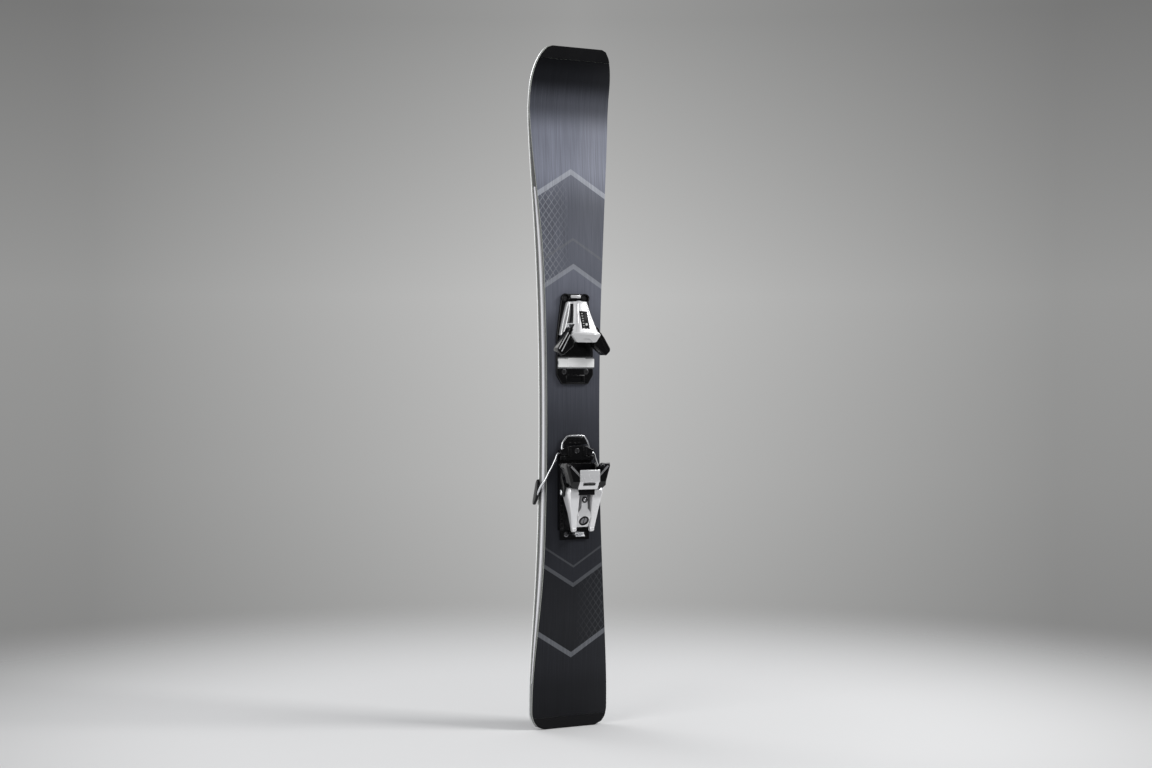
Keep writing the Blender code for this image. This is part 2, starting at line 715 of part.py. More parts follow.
HOUSING_LOW = TOE_PLATE_THICKNESS + GAP
POCKET_FRONT = WING_PIVOT_Z + WING_HUB_RADIUS + 0.0042
TOE_AXIS_START = POCKET_FRONT + GAP
SPRING_START = TOE_AXIS_START + TOE_PISTON_LENGTH + GAP
NUT_START = SPRING_START + TOE_SPRING_LENGTH + GAP
POINTER_REACH = 0.0155
BORE_MOUTH = 0.0030


def housing_ring(along):
    """Ten-sided section of the housing: wide flange, narrower hump, flat crown."""
    flange = blend(HOUSING_REAR_FLANGE, HOUSING_FRONT_FLANGE, along)
    hump = blend(HOUSING_REAR_HUMP, HOUSING_FRONT_HUMP, along)
    crown = blend(HOUSING_REAR_CROWN, HOUSING_FRONT_CROWN, along)
    top = crown_up(along)
    shoulder = HOUSING_FLANGE_TOP + 0.0020
    half = [(flange, HOUSING_LOW), (flange, HOUSING_FLANGE_TOP), (hump, shoulder),
            (hump - 0.0020, top - 0.0040), (crown, top)]
    points = [(x, up) for x, up in half] + [(-x, up) for x, up in reversed(half)]
    return [toe(x, along, up) for x, up in points]


def make_toe_housing():
    """Metal housing with the wing pocket, the spring's bore, the lip and the scale's window."""
    housing = loft("toe_housing", [housing_ring(HOUSING_REAR), housing_ring(POCKET_FRONT),
                                   housing_ring(HOUSING_FRONT)], SILVER_METAL)
    soften(housing, 0.0009, 20.0)
    for sign in (-1, 1):
        x = sign * WING_PIVOT_X
        cut(housing, rod("wing_pin_bore_" + str(sign + 1), toe(x, WING_PIVOT_Z, HOUSING_LOW - 0.002),
                         toe(x, WING_PIVOT_Z, WING_HIGH + WING_PIN_OVERLAP + GAP), WING_PIN_RADIUS + BORE_GAP))
    cut(housing, rod("toe_bore", toe(0, POCKET_FRONT - BORE_MOUTH, TOE_BORE_HEIGHT),
                     toe(0, HOUSING_FRONT + 0.003, TOE_BORE_HEIGHT), TOE_BORE_RADIUS, sides=20))
    cut(housing, block("wing_pocket", toe, (-WING_SPAN, WING_SPAN), (-WING_SPAN, POCKET_FRONT),
                       (WING_LOW - GAP, WING_HIGH + GAP)))
    roof_low = WING_HIGH + GAP
    roof_high = roof_low + LIP_THICKNESS
    roof_rear = blend(HOUSING_REAR_HUMP, HOUSING_FRONT_HUMP, HOUSING_REAR)
    roof = plan_prism("lip_roof", toe, mirrored([(roof_rear - 0.004, HOUSING_REAR + 0.004),
                                                 (roof_rear - 0.0006, HOUSING_REAR), (LIP_HALF_WIDTH, 0.0)]),
                      roof_low, roof_high, None)
    join(housing, roof)
    nose = plan_prism("lip_nose", toe, mirrored([(LIP_HALF_WIDTH - 0.004, HOUSING_REAR - GAP),
                                                 (LIP_HALF_WIDTH - GAP, GAP)]),
                      roof_high - LIP_DEPTH, roof_high - 2 * GAP, None)
    join(housing, nose)
    make_toe_scale(housing)


def sloped_strip(name, along_range, depth_range, half, finish):
    """Strip that follows the housing's sloping top, between two depths below it."""
    (rear, front), (shallow, deep) = along_range, depth_range
    profile = [(rear, crown_up(rear) - shallow), (front, crown_up(front) - shallow),
               (front, crown_up(front) - deep), (rear, crown_up(rear) - deep)]
    return side_prism(name, toe, profile, -half, half, finish)


def make_toe_scale(housing):
    """Window over the release scale, with the well in which the nut's pointer moves."""
    rear, front = TOE_WINDOW_REAR, TOE_WINDOW_FRONT
    half = TOE_WINDOW_HALF_WIDTH
    sunk = 0.0003
    cut(housing, sloped_strip("window_recess", (rear - GAP, front + GAP),
                              (-0.004, sunk + TOE_WINDOW_THICKNESS + GAP), half + GAP, None))
    sloped_strip("toe_window", (rear, front), (sunk, sunk + TOE_WINDOW_THICKNESS), half, CLEAR_PLASTIC)
    ledge = 0.0020
    well_rear = POCKET_FRONT + 0.0012
    well_low = TOE_BORE_HEIGHT + TOE_BORE_RADIUS - 0.001
    nut_end = NUT_START + TOE_NUT_LENGTH
    pointer_rear = nut_end - 0.001 - POINTER_REACH
    room = TOE_NUT_TRAVEL + 2 * GAP
    cut(housing, block("pointer_slot", toe, (-POINTER_HALF_WIDTH - 2 * GAP, POINTER_HALF_WIDTH + 2 * GAP),
                       (pointer_rear - room, nut_end + room),
                       (well_low, pointer_height() + POINTER_THICKNESS + 2 * GAP)))
    cut(housing, block("scale_well", toe, (ledge - half, half - ledge), (well_rear, front - ledge),
                       (pointer_height() - 2 * GAP, crown_up(front) - TOE_WINDOW_THICKNESS)))
    cut(housing, block("scale_well_rear", toe, (ledge - half, half - ledge),
                       (well_rear, (rear + front) / 2),
                       (pointer_height() - 2 * GAP, crown_up((rear + front) / 2) - TOE_WINDOW_THICKNESS)))


def pointer_height():
    """Height of the nut's pointer, just over the spring's bore."""
    return TOE_BORE_HEIGHT + TOE_BORE_RADIUS + 0.0003


def make_toe_mechanism():
    """Piston, spring, nut with its pointer and the adjusting screw, all in the housing's bore."""
    along_ski = Vector((0.0, 0.0, 1.0))
    fit = TOE_BORE_RADIUS - 2 * GAP
    piston = rod("toe_piston", toe(0, POCKET_FRONT - BORE_MOUTH + GAP, TOE_BORE_HEIGHT),
                 toe(0, TOE_AXIS_START + TOE_PISTON_LENGTH, TOE_BORE_HEIGHT), fit, SPRING_STEEL, 16)
    hub_top = WING_PIVOT_Z + WING_HUB_RADIUS + GAP
    head_low, head_high = WING_LOW + 2 * GAP, WING_LOW + 0.0045
    join(piston, block("piston_crosshead", toe, (-WING_PIVOT_X, WING_PIVOT_X),
                       (hub_top, POCKET_FRONT - 2 * GAP), (head_low, head_high)))
    coil("toe_spring", toe(0, SPRING_START, TOE_BORE_HEIGHT), along_ski, TOE_SPRING_RADIUS,
         TOE_SPRING_WIRE, TOE_SPRING_LENGTH, TOE_SPRING_TURNS, SPRING_STEEL)
    nut_end = NUT_START + TOE_NUT_LENGTH
    nut = rod("toe_spring_nut", toe(0, NUT_START, TOE_BORE_HEIGHT), toe(0, nut_end, TOE_BORE_HEIGHT),
              fit, MARKER_PLASTIC, 16)
    low = pointer_height()
    join(nut, block("nut_pointer", toe, (-POINTER_HALF_WIDTH, POINTER_HALF_WIDTH),
                    (nut_end - 0.001 - POINTER_REACH, nut_end - 0.001), (low, low + POINTER_THICKNESS)))
    join(nut, block("nut_pointer_foot", toe, (-POINTER_HALF_WIDTH, POINTER_HALF_WIDTH),
                    (NUT_START + 0.0008, nut_end - 0.001), (low - 0.003, low + POINTER_THICKNESS / 2)))
    cut(nut, rod("nut_thread", toe(0, NUT_START - 0.002, TOE_BORE_HEIGHT),
                 toe(0, nut_end + 0.002, TOE_BORE_HEIGHT), TOE_SCREW_RADIUS + BORE_GAP))
    collar = nut_end + TOE_NUT_TRAVEL + 2 * GAP
    head = HOUSING_FRONT + 0.0020
    shank_end = SPRING_START + 0.003
    screw = turned("toe_din_screw", toe(0, head, TOE_BORE_HEIGHT), Vector((0.0, 0.0, -1.0)),
                   [(0.0, 0.0), (TOE_SCREW_HEAD_RADIUS - 0.0014, 0.0), (TOE_SCREW_HEAD_RADIUS, 0.0014),
                    (TOE_SCREW_HEAD_RADIUS, head - collar), (TOE_SCREW_RADIUS, head - collar),
                    (TOE_SCREW_RADIUS, head - shank_end), (0.0, head - shank_end)], SPRING_STEEL, 16)
    cut(screw, block("toe_screw_slot", toe, (-0.010, 0.010), (head - 0.0014, head + 0.002),
                     (TOE_BORE_HEIGHT - 0.0007, TOE_BORE_HEIGHT + 0.0007)))


def make_toe_wings():
    """Two wings that hold the sides of the boot's toe, each on its own pin."""
    tip_x = WING_SPAN / 2
    half_outline = [(WING_PIVOT_X + 0.0045, WING_PIVOT_Z + 0.0025), (tip_x, -0.0100),
                    (tip_x - 0.0007, -0.0140), (tip_x - 0.0070, -WING_REACH),
                    (tip_x - 0.0105, -WING_REACH), (LIP_HALF_WIDTH + 0.0022, -0.0060),
                    (LIP_HALF_WIDTH + 0.0017, 0.0), (WING_PIVOT_X - 0.0045, WING_PIVOT_Z - 0.0030)]
    for side, sign in (("left", -1), ("right", 1)):
        x = sign * WING_PIVOT_X
        wing = plan_prism("toe_wing_" + side, toe, [(sign * across, along) for across, along in half_outline],
                          WING_LOW, WING_HIGH, BLACK_PLASTIC)
        soften(wing, 0.0012)
        join(wing, rod("wing_hub_" + side, toe(x, WING_PIVOT_Z, WING_LOW), toe(x, WING_PIVOT_Z, WING_HIGH),
                       WING_HUB_RADIUS, sides=20))
        cut(wing, rod("wing_bore_" + side, toe(x, WING_PIVOT_Z, WING_LOW - 0.002),
                      toe(x, WING_PIVOT_Z, WING_HIGH + 0.002), WING_PIN_RADIUS + BORE_GAP))
        rod("toe_wing_pin_" + side, toe(x, WING_PIVOT_Z, HOUSING_LOW),
            toe(x, WING_PIVOT_Z, WING_HIGH + WING_PIN_OVERLAP), WING_PIN_RADIUS, SPRING_STEEL)


def make_afd():
    """Steel rail on the toe plate and the plate that slides sideways on it."""
    rail_low = TOE_PLATE_THICKNESS + GAP
    rail_high = rail_low + AFD_RAIL_THICKNESS
    half_rail = AFD_RAIL_LENGTH / 2
    half_rib = AFD_RIB_WIDTH / 2
    profile = [(AFD_Z - half_rail, rail_low), (AFD_Z + half_rail, rail_low), (AFD_Z + half_rail, rail_high),
               (AFD_Z + half_rib, rail_high), (AFD_Z + half_rib, rail_high + AFD_RIB_HEIGHT),
               (AFD_Z - half_rib, rail_high + AFD_RIB_HEIGHT), (AFD_Z - half_rib, rail_high),
               (AFD_Z - half_rail, rail_high)]
    side_prism("afd_rail", toe, profile, -AFD_HALF_WIDTH, AFD_HALF_WIDTH, SPRING_STEEL)
    low = rail_high + GAP
    high = low + AFD_THICKNESS
    half_plate = AFD_LENGTH / 2
    plate = block("afd_plate", toe, (-AFD_HALF_WIDTH, AFD_HALF_WIDTH), (AFD_Z - half_plate, AFD_Z + half_plate),
                  (low, high), WHITE_PLASTIC)
    soften(plate, 0.0008, 60.0)
    groove = half_rib + GAP
    past_end = AFD_HALF_WIDTH + 0.002
    cut(plate, block("afd_groove", toe, (-past_end, past_end), (AFD_Z - groove, AFD_Z + groove),
                     (low - 0.001, rail_high + AFD_RIB_HEIGHT + GAP)))
    join(plate, block("afd_crown", toe, (-AFD_CROWN_HALF_WIDTH, AFD_CROWN_HALF_WIDTH),
                      (AFD_Z - half_plate + 0.0010, AFD_Z + half_plate + 0.0010),
                      (high - 0.0012, high + AFD_CROWN_HEIGHT)))


def make_front_clip():
    """Small metal clip in front of the adjusting screw, on the toe plate."""
    front = TOE_PLATE_FRONT - 0.0020
    clip = block("toe_front_clip", toe, (-FRONT_CLIP_HALF_WIDTH, FRONT_CLIP_HALF_WIDTH),
                 (front - FRONT_CLIP_LENGTH, front),
                 (TOE_PLATE_THICKNESS + GAP, TOE_PLATE_THICKNESS + GAP + FRONT_CLIP_HEIGHT), SILVER_METAL)
    soften(clip, 0.0008)


# Heel piece


def section_prism(name, place, section, along_low, along_high, finish):
    """Extrude a cross-section of (across, up) pairs along the ski."""
    points = [place(x, along_low, up) for x, up in section]
    return extrude_outline(name, points, Vector((0.0, 0.0, along_high - along_low)), finish)


TRACK_TOP = TRACK_FOOT_HEIGHT + TRACK_FLANGE_THICKNESS
SHOE_LOW = TRACK_TOP + GAP
SHOE_HALF_WIDTH = TRACK_HALF_WIDTH + GAP + SHOE_WALL
LATCH_PIN_Z = SHOE_REAR - 0.0042


def make_track():
    """T-section track screwed to the ski, on which the heel piece slides."""
    half = [(TRACK_FOOT_HALF_WIDTH, 0.0), (TRACK_FOOT_HALF_WIDTH, TRACK_FOOT_HEIGHT),
            (TRACK_HALF_WIDTH, TRACK_FOOT_HEIGHT), (TRACK_HALF_WIDTH, TRACK_TOP)]
    section = half + [(-x, up) for x, up in reversed(half)]
    rear, front = TRACK_REAR_Z - HEEL_PIN_Z, TRACK_FRONT_Z - HEEL_PIN_Z
    track = section_prism("heel_track", heel, section, rear, front, BLACK_PLASTIC)
    seats = []
    for end, along in (("front", front - TRACK_SCREW_INSET), ("rear", rear + TRACK_SCREW_INSET)):
        for side, sign in (("left", -1), ("right", 1)):
            binding_screw("heel_screw_" + end + "_" + side, heel, sign * TRACK_SCREW_X, along, TRACK_TOP)
            seats.append(SCREWS[-1])
    for top, depth in seats:
        screw_hole(track, top, depth)


def make_carriage():
    """Moulded shoe that grips the track from the sides and carries the whole heel piece."""
    foot = TRACK_FOOT_HALF_WIDTH + GAP
    flange = TRACK_HALF_WIDTH + GAP
    lip_top = TRACK_FOOT_HEIGHT - GAP
    outer = SHOE_HALF_WIDTH
    half = [(foot, GAP), (outer, GAP), (outer, SHOE_FRONT_TOP)]
    inner = [(-flange, lip_top), (-flange, SHOE_LOW), (flange, SHOE_LOW), (flange, lip_top), (foot, lip_top)]
    section = half + [(-x, up) for x, up in reversed(half)] + [(-foot, lip_top)] + inner
    shoe = section_prism("heel_carriage", heel, section, SHOE_REAR, SHOE_FRONT, BLACK_PLASTIC)
    lap = 0.001
    join(shoe, block("carriage_rear_deck", heel, (-outer, outer), (SHOE_REAR, SHOE_STEP),
                     (SHOE_FRONT_TOP - lap, SHOE_TOP)))
    join(shoe, block("carriage_tongue", heel, (-SHOE_TONGUE_HALF_WIDTH, SHOE_TONGUE_HALF_WIDTH),
                     (SHOE_FRONT - lap, SHOE_FRONT + SHOE_TONGUE_REACH), (SHOE_LOW, SHOE_FRONT_TOP)))
    ear_in = LATCH_HALF_WIDTH + GAP
    ear_end = LATCH_PIN_Z - 2 * LATCH_PIN_RADIUS
    for sign in (-1, 1):
        span = sorted((sign * ear_in, sign * (ear_in + LATCH_EAR_THICKNESS)))
        join(shoe, block("latch_ear_" + str(sign + 1), heel, span, (ear_end, SHOE_REAR + lap),
                         (SHOE_LOW, LATCH_PIN_HEIGHT + 2 * LATCH_PIN_RADIUS)))
    pin_end = ear_in + LATCH_EAR_THICKNESS
    cut(shoe, rod("latch_pin_bore", heel(-pin_end - 0.002, LATCH_PIN_Z, LATCH_PIN_HEIGHT),
                  heel(pin_end + 0.002, LATCH_PIN_Z, LATCH_PIN_HEIGHT), LATCH_PIN_RADIUS + BORE_GAP))
    return shoe


def make_latch():
    """Sprung clip on a cross pin, lifted to slide the heel piece along its track."""
    pin_end = LATCH_HALF_WIDTH + GAP + LATCH_EAR_THICKNESS
    rod("latch_pin", heel(-pin_end, LATCH_PIN_Z, LATCH_PIN_HEIGHT),
        heel(pin_end, LATCH_PIN_Z, LATCH_PIN_HEIGHT), LATCH_PIN_RADIUS, SPRING_STEEL)
    z, up = LATCH_PIN_Z, LATCH_PIN_HEIGHT
    profile = [(z - 0.0026, up - 0.0016), (z - 0.0010, up - 0.0026), (z + 0.0016, up - 0.0026),
               (z + 0.0026, up + 0.0020), (z + 0.0012, up + 0.0150), (z - 0.0050, up + 0.0185),
               (z - 0.0060, up + 0.0167), (z - 0.0014, up + 0.0134), (z - 0.0026, up + 0.0020)]
    latch = side_prism("length_latch", heel, profile, -LATCH_HALF_WIDTH, LATCH_HALF_WIDTH, SPRING_STEEL)
    cut(latch, rod("latch_bore", heel(-pin_end, z, up), heel(pin_end, z, up), LATCH_PIN_RADIUS + BORE_GAP))


def heel_axis_point(depth):
    """Point on the heel spring's axis, counted inwards from the face of the body."""
    return heel(0.0, HEEL_AXIS_Z, HEEL_AXIS_HEIGHT) + heel_axis() * depth


def heel_axis():
    """Direction of the heel spring, from its adjusting screw down into the body."""
    tilt = math.radians(HEEL_AXIS_TILT_DEG)
    return Vector((0.0, math.sin(tilt), math.cos(tilt)))


def make_heel_body():
    """Metal body on the carriage with the spring's bore and the main pivot pin."""
    low = SHOE_TOP + GAP
    slope = math.tan(math.radians(90.0 - HEEL_AXIS_TILT_DEG))
    face_rear, face_front = HEEL_AXIS_Z - 0.0105, HEEL_AXIS_Z + 0.0070
    face = [(z, HEEL_AXIS_HEIGHT + (z - HEEL_AXIS_Z) * slope) for z in (face_rear, face_front)]
    profile = [(face_rear, low), face[0], face[1], (-0.0320, 0.0385), (-0.0080, 0.0390),
               (0.0080, 0.0290), (0.0120, 0.0210), (0.0120, low)]
    body = side_prism("heel_body", heel, profile, -BODY_HALF_WIDTH, BODY_HALF_WIDTH, SILVER_METAL)
    soften(body, 0.0010)
    cut(body, rod("heel_spring_bore", heel_axis_point(-0.004), heel_axis_point(HEEL_BORE_DEPTH),
                  HEEL_BORE_RADIUS, sides=20))
    reach = 0.002
    cut(body, rod("body_pin_bore", heel(-BODY_HALF_WIDTH - reach, 0.0, HEEL_PIN_HEIGHT),
                  heel(BODY_HALF_WIDTH + reach, 0.0, HEEL_PIN_HEIGHT), HEEL_PIN_RADIUS + BORE_GAP, sides=16))
    rivet_top = 0.0395
    rivet_low = rivet_top - 0.0060
    down = Vector((0.0, 1.0, 0.0))
    seat = rivet_top - 0.0012
    cut(body, turned("rivet_hole", heel(0, RIVET_Z, rivet_top + reach), down,
                     [(0.0, 0.0), (RIVET_HEAD_RADIUS + BORE_GAP, 0.0),
                      (RIVET_HEAD_RADIUS + BORE_GAP, rivet_top + reach - seat + GAP),
                      (RIVET_RADIUS + BORE_GAP, rivet_top + reach - seat + GAP),
                      (RIVET_RADIUS + BORE_GAP, rivet_top + reach - rivet_low + GAP),
                      (0.0, rivet_top + reach - rivet_low + GAP)]))
    turned("heel_rivet", heel(0, RIVET_Z, rivet_top), down,
           [(0.0, 0.0), (RIVET_HEAD_RADIUS, 0.0), (RIVET_HEAD_RADIUS, rivet_top - seat),
            (RIVET_RADIUS, rivet_top - seat), (RIVET_RADIUS, rivet_top - rivet_low),
            (0.0, rivet_top - rivet_low)], SPRING_STEEL)


def make_heel_mechanism():
    """Adjusting screw, nut, spring and plunger in the heel body's bore."""
    axis = heel_axis()
    fit = HEEL_BORE_RADIUS - 2 * GAP
    nut_end = HEEL_NUT_START + HEEL_NUT_LENGTH
    spring_start = nut_end + GAP
    plunger_start = HEEL_BORE_DEPTH - GAP - HEEL_PLUNGER_LENGTH
    spring_length = plunger_start - GAP - spring_start
    shank_end = spring_start + spring_length * 0.6
    screw = turned("heel_din_screw", heel_axis_point(0.0), axis,
                   [(0.0, 0.0), (fit, 0.0), (fit, HEEL_SCREW_HEAD_LENGTH),
                    (HEEL_SCREW_RADIUS, HEEL_SCREW_HEAD_LENGTH), (HEEL_SCREW_RADIUS, shank_end),
                    (0.0, shank_end)], SPRING_STEEL, 16)
    slot = 0.0007
    side = Vector((1.0, 0.0, 0.0))
    across = axis.cross(side)
    corner = heel_axis_point(-0.002) - side * slot - across * 0.008
    outline = [corner, corner + side * 2 * slot, corner + side * 2 * slot + across * 0.016,
               corner + across * 0.016]
    cut(screw, extrude_outline("heel_screw_slot", outline, axis * 0.0033, None))
    ring_piece("heel_spring_nut", heel_axis_point(HEEL_NUT_START), heel_axis_point(nut_end), fit,
               HEEL_SCREW_RADIUS + BORE_GAP, MARKER_PLASTIC, 16)
    coil("heel_spring", heel_axis_point(spring_start), axis, HEEL_SPRING_RADIUS, HEEL_SPRING_WIRE,
         spring_length, HEEL_SPRING_TURNS, SPRING_STEEL)
    rod("heel_plunger", heel_axis_point(plunger_start), heel_axis_point(HEEL_BORE_DEPTH - GAP), fit,
        SPRING_STEEL, 16)


def make_heel_pin():
    """Main pivot pin through the body, the lever's legs and the cup's lugs."""
    lug_out = LEG_HUB_OUTER_X + GAP + CUP_LUG_THICKNESS
    head = lug_out + GAP
    end = head + HEEL_PIN_HEAD_LENGTH
    turned("heel_pivot_pin", heel(-end, 0.0, HEEL_PIN_HEIGHT), Vector((1.0, 0.0, 0.0)),
           [(0.0, 0.0), (HEEL_PIN_HEAD_RADIUS, 0.0), (HEEL_PIN_HEAD_RADIUS, end - head),
            (HEEL_PIN_RADIUS, end - head), (HEEL_PIN_RADIUS, end + head), (HEEL_PIN_HEAD_RADIUS, end + head),
            (HEEL_PIN_HEAD_RADIUS, 2 * end), (0.0, 2 * end)], SPRING_STEEL, 16)


def make_lever():
    """Opening lever: two legs from the pivot pin to the rear, joined over the body by a bar."""
    sections = ((0.0080, 0.0285, 0.0220, 0.0440), (0.0, LEG_HUB_OUTER_X, 0.0132, 0.0465),
                (-0.0120, 0.0270, 0.0170, 0.0440), (-0.0340, 0.0235, 0.0240, 0.0395),
                (LEG_END_Z, LEG_END_OUTER_X, 0.0275, 0.0345))
    legs = []
    for side, sign in (("left", -1), ("right", 1)):
        rings = [[heel(sign * LEG_INNER_X, z, low), heel(sign * outer, z, low),
                  heel(sign * outer, z, high), heel(sign * LEG_INNER_X, z, high)]
                 for z, outer, low, high in sections]
        name = "heel_lever" if side == "left" else "lever_leg_right"
        leg = loft(name, rings, SILVER_METAL if side == "left" else None)
        soften(leg, 0.0010)
        legs.append(leg)
    lever, right_leg = legs
    join(lever, right_leg)
    boss_up = (sections[-1][2] + sections[-1][3]) / 2
    for sign in (-1, 1):
        ends = (sign * (LEG_INNER_X + LEG_BOSS_INSET), sign * (LEG_END_OUTER_X - LEG_BOSS_INSET))
        join(lever, rod("lever_end_" + str(sign + 1), heel(ends[0], LEG_END_Z, boss_up),
                        heel(ends[1], LEG_END_Z, boss_up), LEG_BOSS_RADIUS, sides=16))
    lap = 0.002
    bar = block("lever_bar", heel, (-LEG_INNER_X - lap, LEG_INNER_X + lap), (-0.0040, 0.0065),
                (0.0428, 0.0466))
    soften(bar, 0.0007)
    join(lever, bar)
    reach = LEG_HUB_OUTER_X + lap
    cut(lever, rod("lever_pin_bore", heel(-reach, 0.0, HEEL_PIN_HEIGHT), heel(reach, 0.0, HEEL_PIN_HEIGHT),
                   HEEL_PIN_RADIUS + BORE_GAP, sides=16))


def make_cup():
    """Heel cup with its two wings, lugs on the pivot pin, and the treadle under the boot."""
    wing = CUP_WING_X
    front = CUP_FRONT
    roof_half = [(wing - 0.0215, front - 0.0170), (wing - 0.0065, front - 0.0020), (wing - 0.0010, front),
                 (wing, front - 0.0050), (wing - 0.0085, 0.0120), (wing - 0.0125, 0.0070)]
    cup = plan_prism("heel_cup", heel, mirrored(roof_half), CUP_ROOF_LOW, CUP_TOP, BLACK_PLASTIC)
    soften(cup, 0.0015)
    lap = 0.003
    wing_half = [(wing - 0.0155, front - 0.0110), (wing - 0.0065, front - 0.0022), (wing - 0.0012, front - 0.0002),
                 (wing - 0.0002, front - 0.0050), (wing - 0.0072, 0.0150), (wing - 0.0100, 0.0140),
                 (wing - 0.0155, 0.0270)]
    for sign in (-1, 1):
        side = plan_prism("cup_wing_" + str(sign + 1), heel, [(sign * x, z) for x, z in wing_half],
                          CUP_WING_LOW, CUP_ROOF_LOW + lap, None)
        soften(side, 0.0012)
        join(cup, side)
    slope_low, slope_high = (0.0065, 0.0481), (0.0183, CUP_TOP + 0.0002)
    over = CUP_TOP + 0.02
    cut(cup, side_prism("cup_rear_slope", heel, [slope_low, slope_high, (slope_high[0], over), (-0.02, over),
                                                 (-0.02, slope_low[1])], -0.06, 0.06, None))
    hub_x = LEG_HUB_OUTER_X + GAP / 2
    cut(cup, rod("cup_clearance", heel(-hub_x, 0.0, HEEL_PIN_HEIGHT), heel(hub_x, 0.0, HEEL_PIN_HEIGHT),
                 CUP_CLEARANCE_RADIUS, sides=32))
    lug_in = LEG_HUB_OUTER_X + GAP
    lug_out = lug_in + CUP_LUG_THICKNESS
    treadle_top = TREADLE_HEIGHT + TREADLE_THICKNESS
    lug = [(-0.0050, 0.0265), (0.0100, 0.0335), (0.0360, 0.0335), (0.0360, 0.0290), (0.0240, 0.0240),
           (TREADLE_FRONT, treadle_top), (TREADLE_FRONT, TREADLE_HEIGHT), (TREADLE_REAR, TREADLE_HEIGHT),
           (0.0040, 0.0145)]
    for sign in (-1, 1):
        name = str(sign + 1)
        join(cup, side_prism("cup_lug_" + name, heel, lug, sign * lug_in, sign * lug_out, None))
        join(cup, rod("cup_hub_" + name, heel(sign * lug_in, 0.0, HEEL_PIN_HEIGHT),
                      heel(sign * lug_out, 0.0, HEEL_PIN_HEIGHT), 0.0075, sides=20))
    join(cup, block("cup_treadle", heel, (-lug_out, lug_out), (TREADLE_REAR, TREADLE_FRONT),
                    (TREADLE_HEIGHT, treadle_top)))
    reach = lug_out + lap
    cut(cup, rod("cup_pin_bore", heel(-reach, 0.0, HEEL_PIN_HEIGHT), heel(reach, 0.0, HEEL_PIN_HEIGHT),
                 HEEL_PIN_RADIUS + BORE_GAP, sides=16))
    top = CUP_TOP + GAP
    cover = [(front - 0.0110, top), (front - 0.0110, top + COVER_THICKNESS),
             (slope_high[0] - 0.0013, top + COVER_THICKNESS), (slope_low[0] - 0.0013, slope_low[1] + COVER_THICKNESS),
             (slope_low[0] + 0.0001, slope_low[1] + 2 * GAP), (slope_high[0] - 0.0005, top)]
    soften(side_prism("heel_cup_cover", heel, cover, -COVER_HALF_WIDTH, COVER_HALF_WIDTH, SILVER_METAL), 0.0006)


def make_brake_base():
    """Brake base screwed to the carriage's tongue, with an ear for the wire on each side."""
    low = SHOE_FRONT_TOP + GAP
    ear_in = BRAKE_BASE_HALF_WIDTH - BRAKE_EAR_THICKNESS
    wall_rear, wall_front = SHOE_FRONT - 0.0080, SHOE_FRONT
    centre_front = SHOE_FRONT + SHOE_TONGUE_REACH + 0.0010
    ear_front = BRAKE_AXLE_Z + 0.0060
    half = [(BRAKE_CENTRE_HALF_WIDTH, centre_front), (BRAKE_CENTRE_HALF_WIDTH, wall_front),
            (ear_in, wall_front), (ear_in, ear_front), (BRAKE_BASE_HALF_WIDTH, ear_front),
            (BRAKE_BASE_HALF_WIDTH, wall_rear)]
    base = plan_prism("brake_base", heel, mirrored(half), low, BRAKE_BASE_TOP, BLACK_PLASTIC)
    soften(base, 0.0008)
    for sign in (-1, 1):
        span = sorted((sign * ear_in, sign * BRAKE_BASE_HALF_WIDTH))
        join(base, block("brake_ear_" + str(sign + 1), heel, span, (wall_front + GAP, ear_front - 0.0008),
                         (SHOE_LOW + GAP, low + 0.0010)))
        ends = (heel(sign * (ear_in - 0.002), BRAKE_AXLE_Z, BRAKE_AXLE_HEIGHT),
                heel(sign * (BRAKE_BASE_HALF_WIDTH + 0.002), BRAKE_AXLE_Z, BRAKE_AXLE_HEIGHT))
        cut(base, rod("brake_ear_bore_" + str(sign + 1), *ends, BRAKE_WIRE_RADIUS + 2 * GAP, sides=16))
    screw_z = SHOE_FRONT + SHOE_TONGUE_REACH / 2
    length = BRAKE_BASE_TOP - SHOE_LOW - GAP
    down = Vector((0.0, 1.0, 0.0))
    top = heel(0, screw_z, BRAKE_BASE_TOP)
    turned("brake_base_screw", top, down,
           [(0.0, SCREW_SOCKET_DEPTH), (SCREW_SOCKET_RADIUS, SCREW_SOCKET_DEPTH), (SCREW_SOCKET_RADIUS, 0.0),
            (SCREW_HEAD_RADIUS, 0.0), (SCREW_HEAD_RADIUS, SCREW_HEAD_HEIGHT / 2),
            (SCREW_SHANK_RADIUS, SCREW_HEAD_HEIGHT), (SCREW_SHANK_RADIUS, length), (0.0, length)], SPRING_STEEL)
    screw_hole(base, top, length)
    shank_hole(bpy.data.objects["heel_carriage"], top, length)


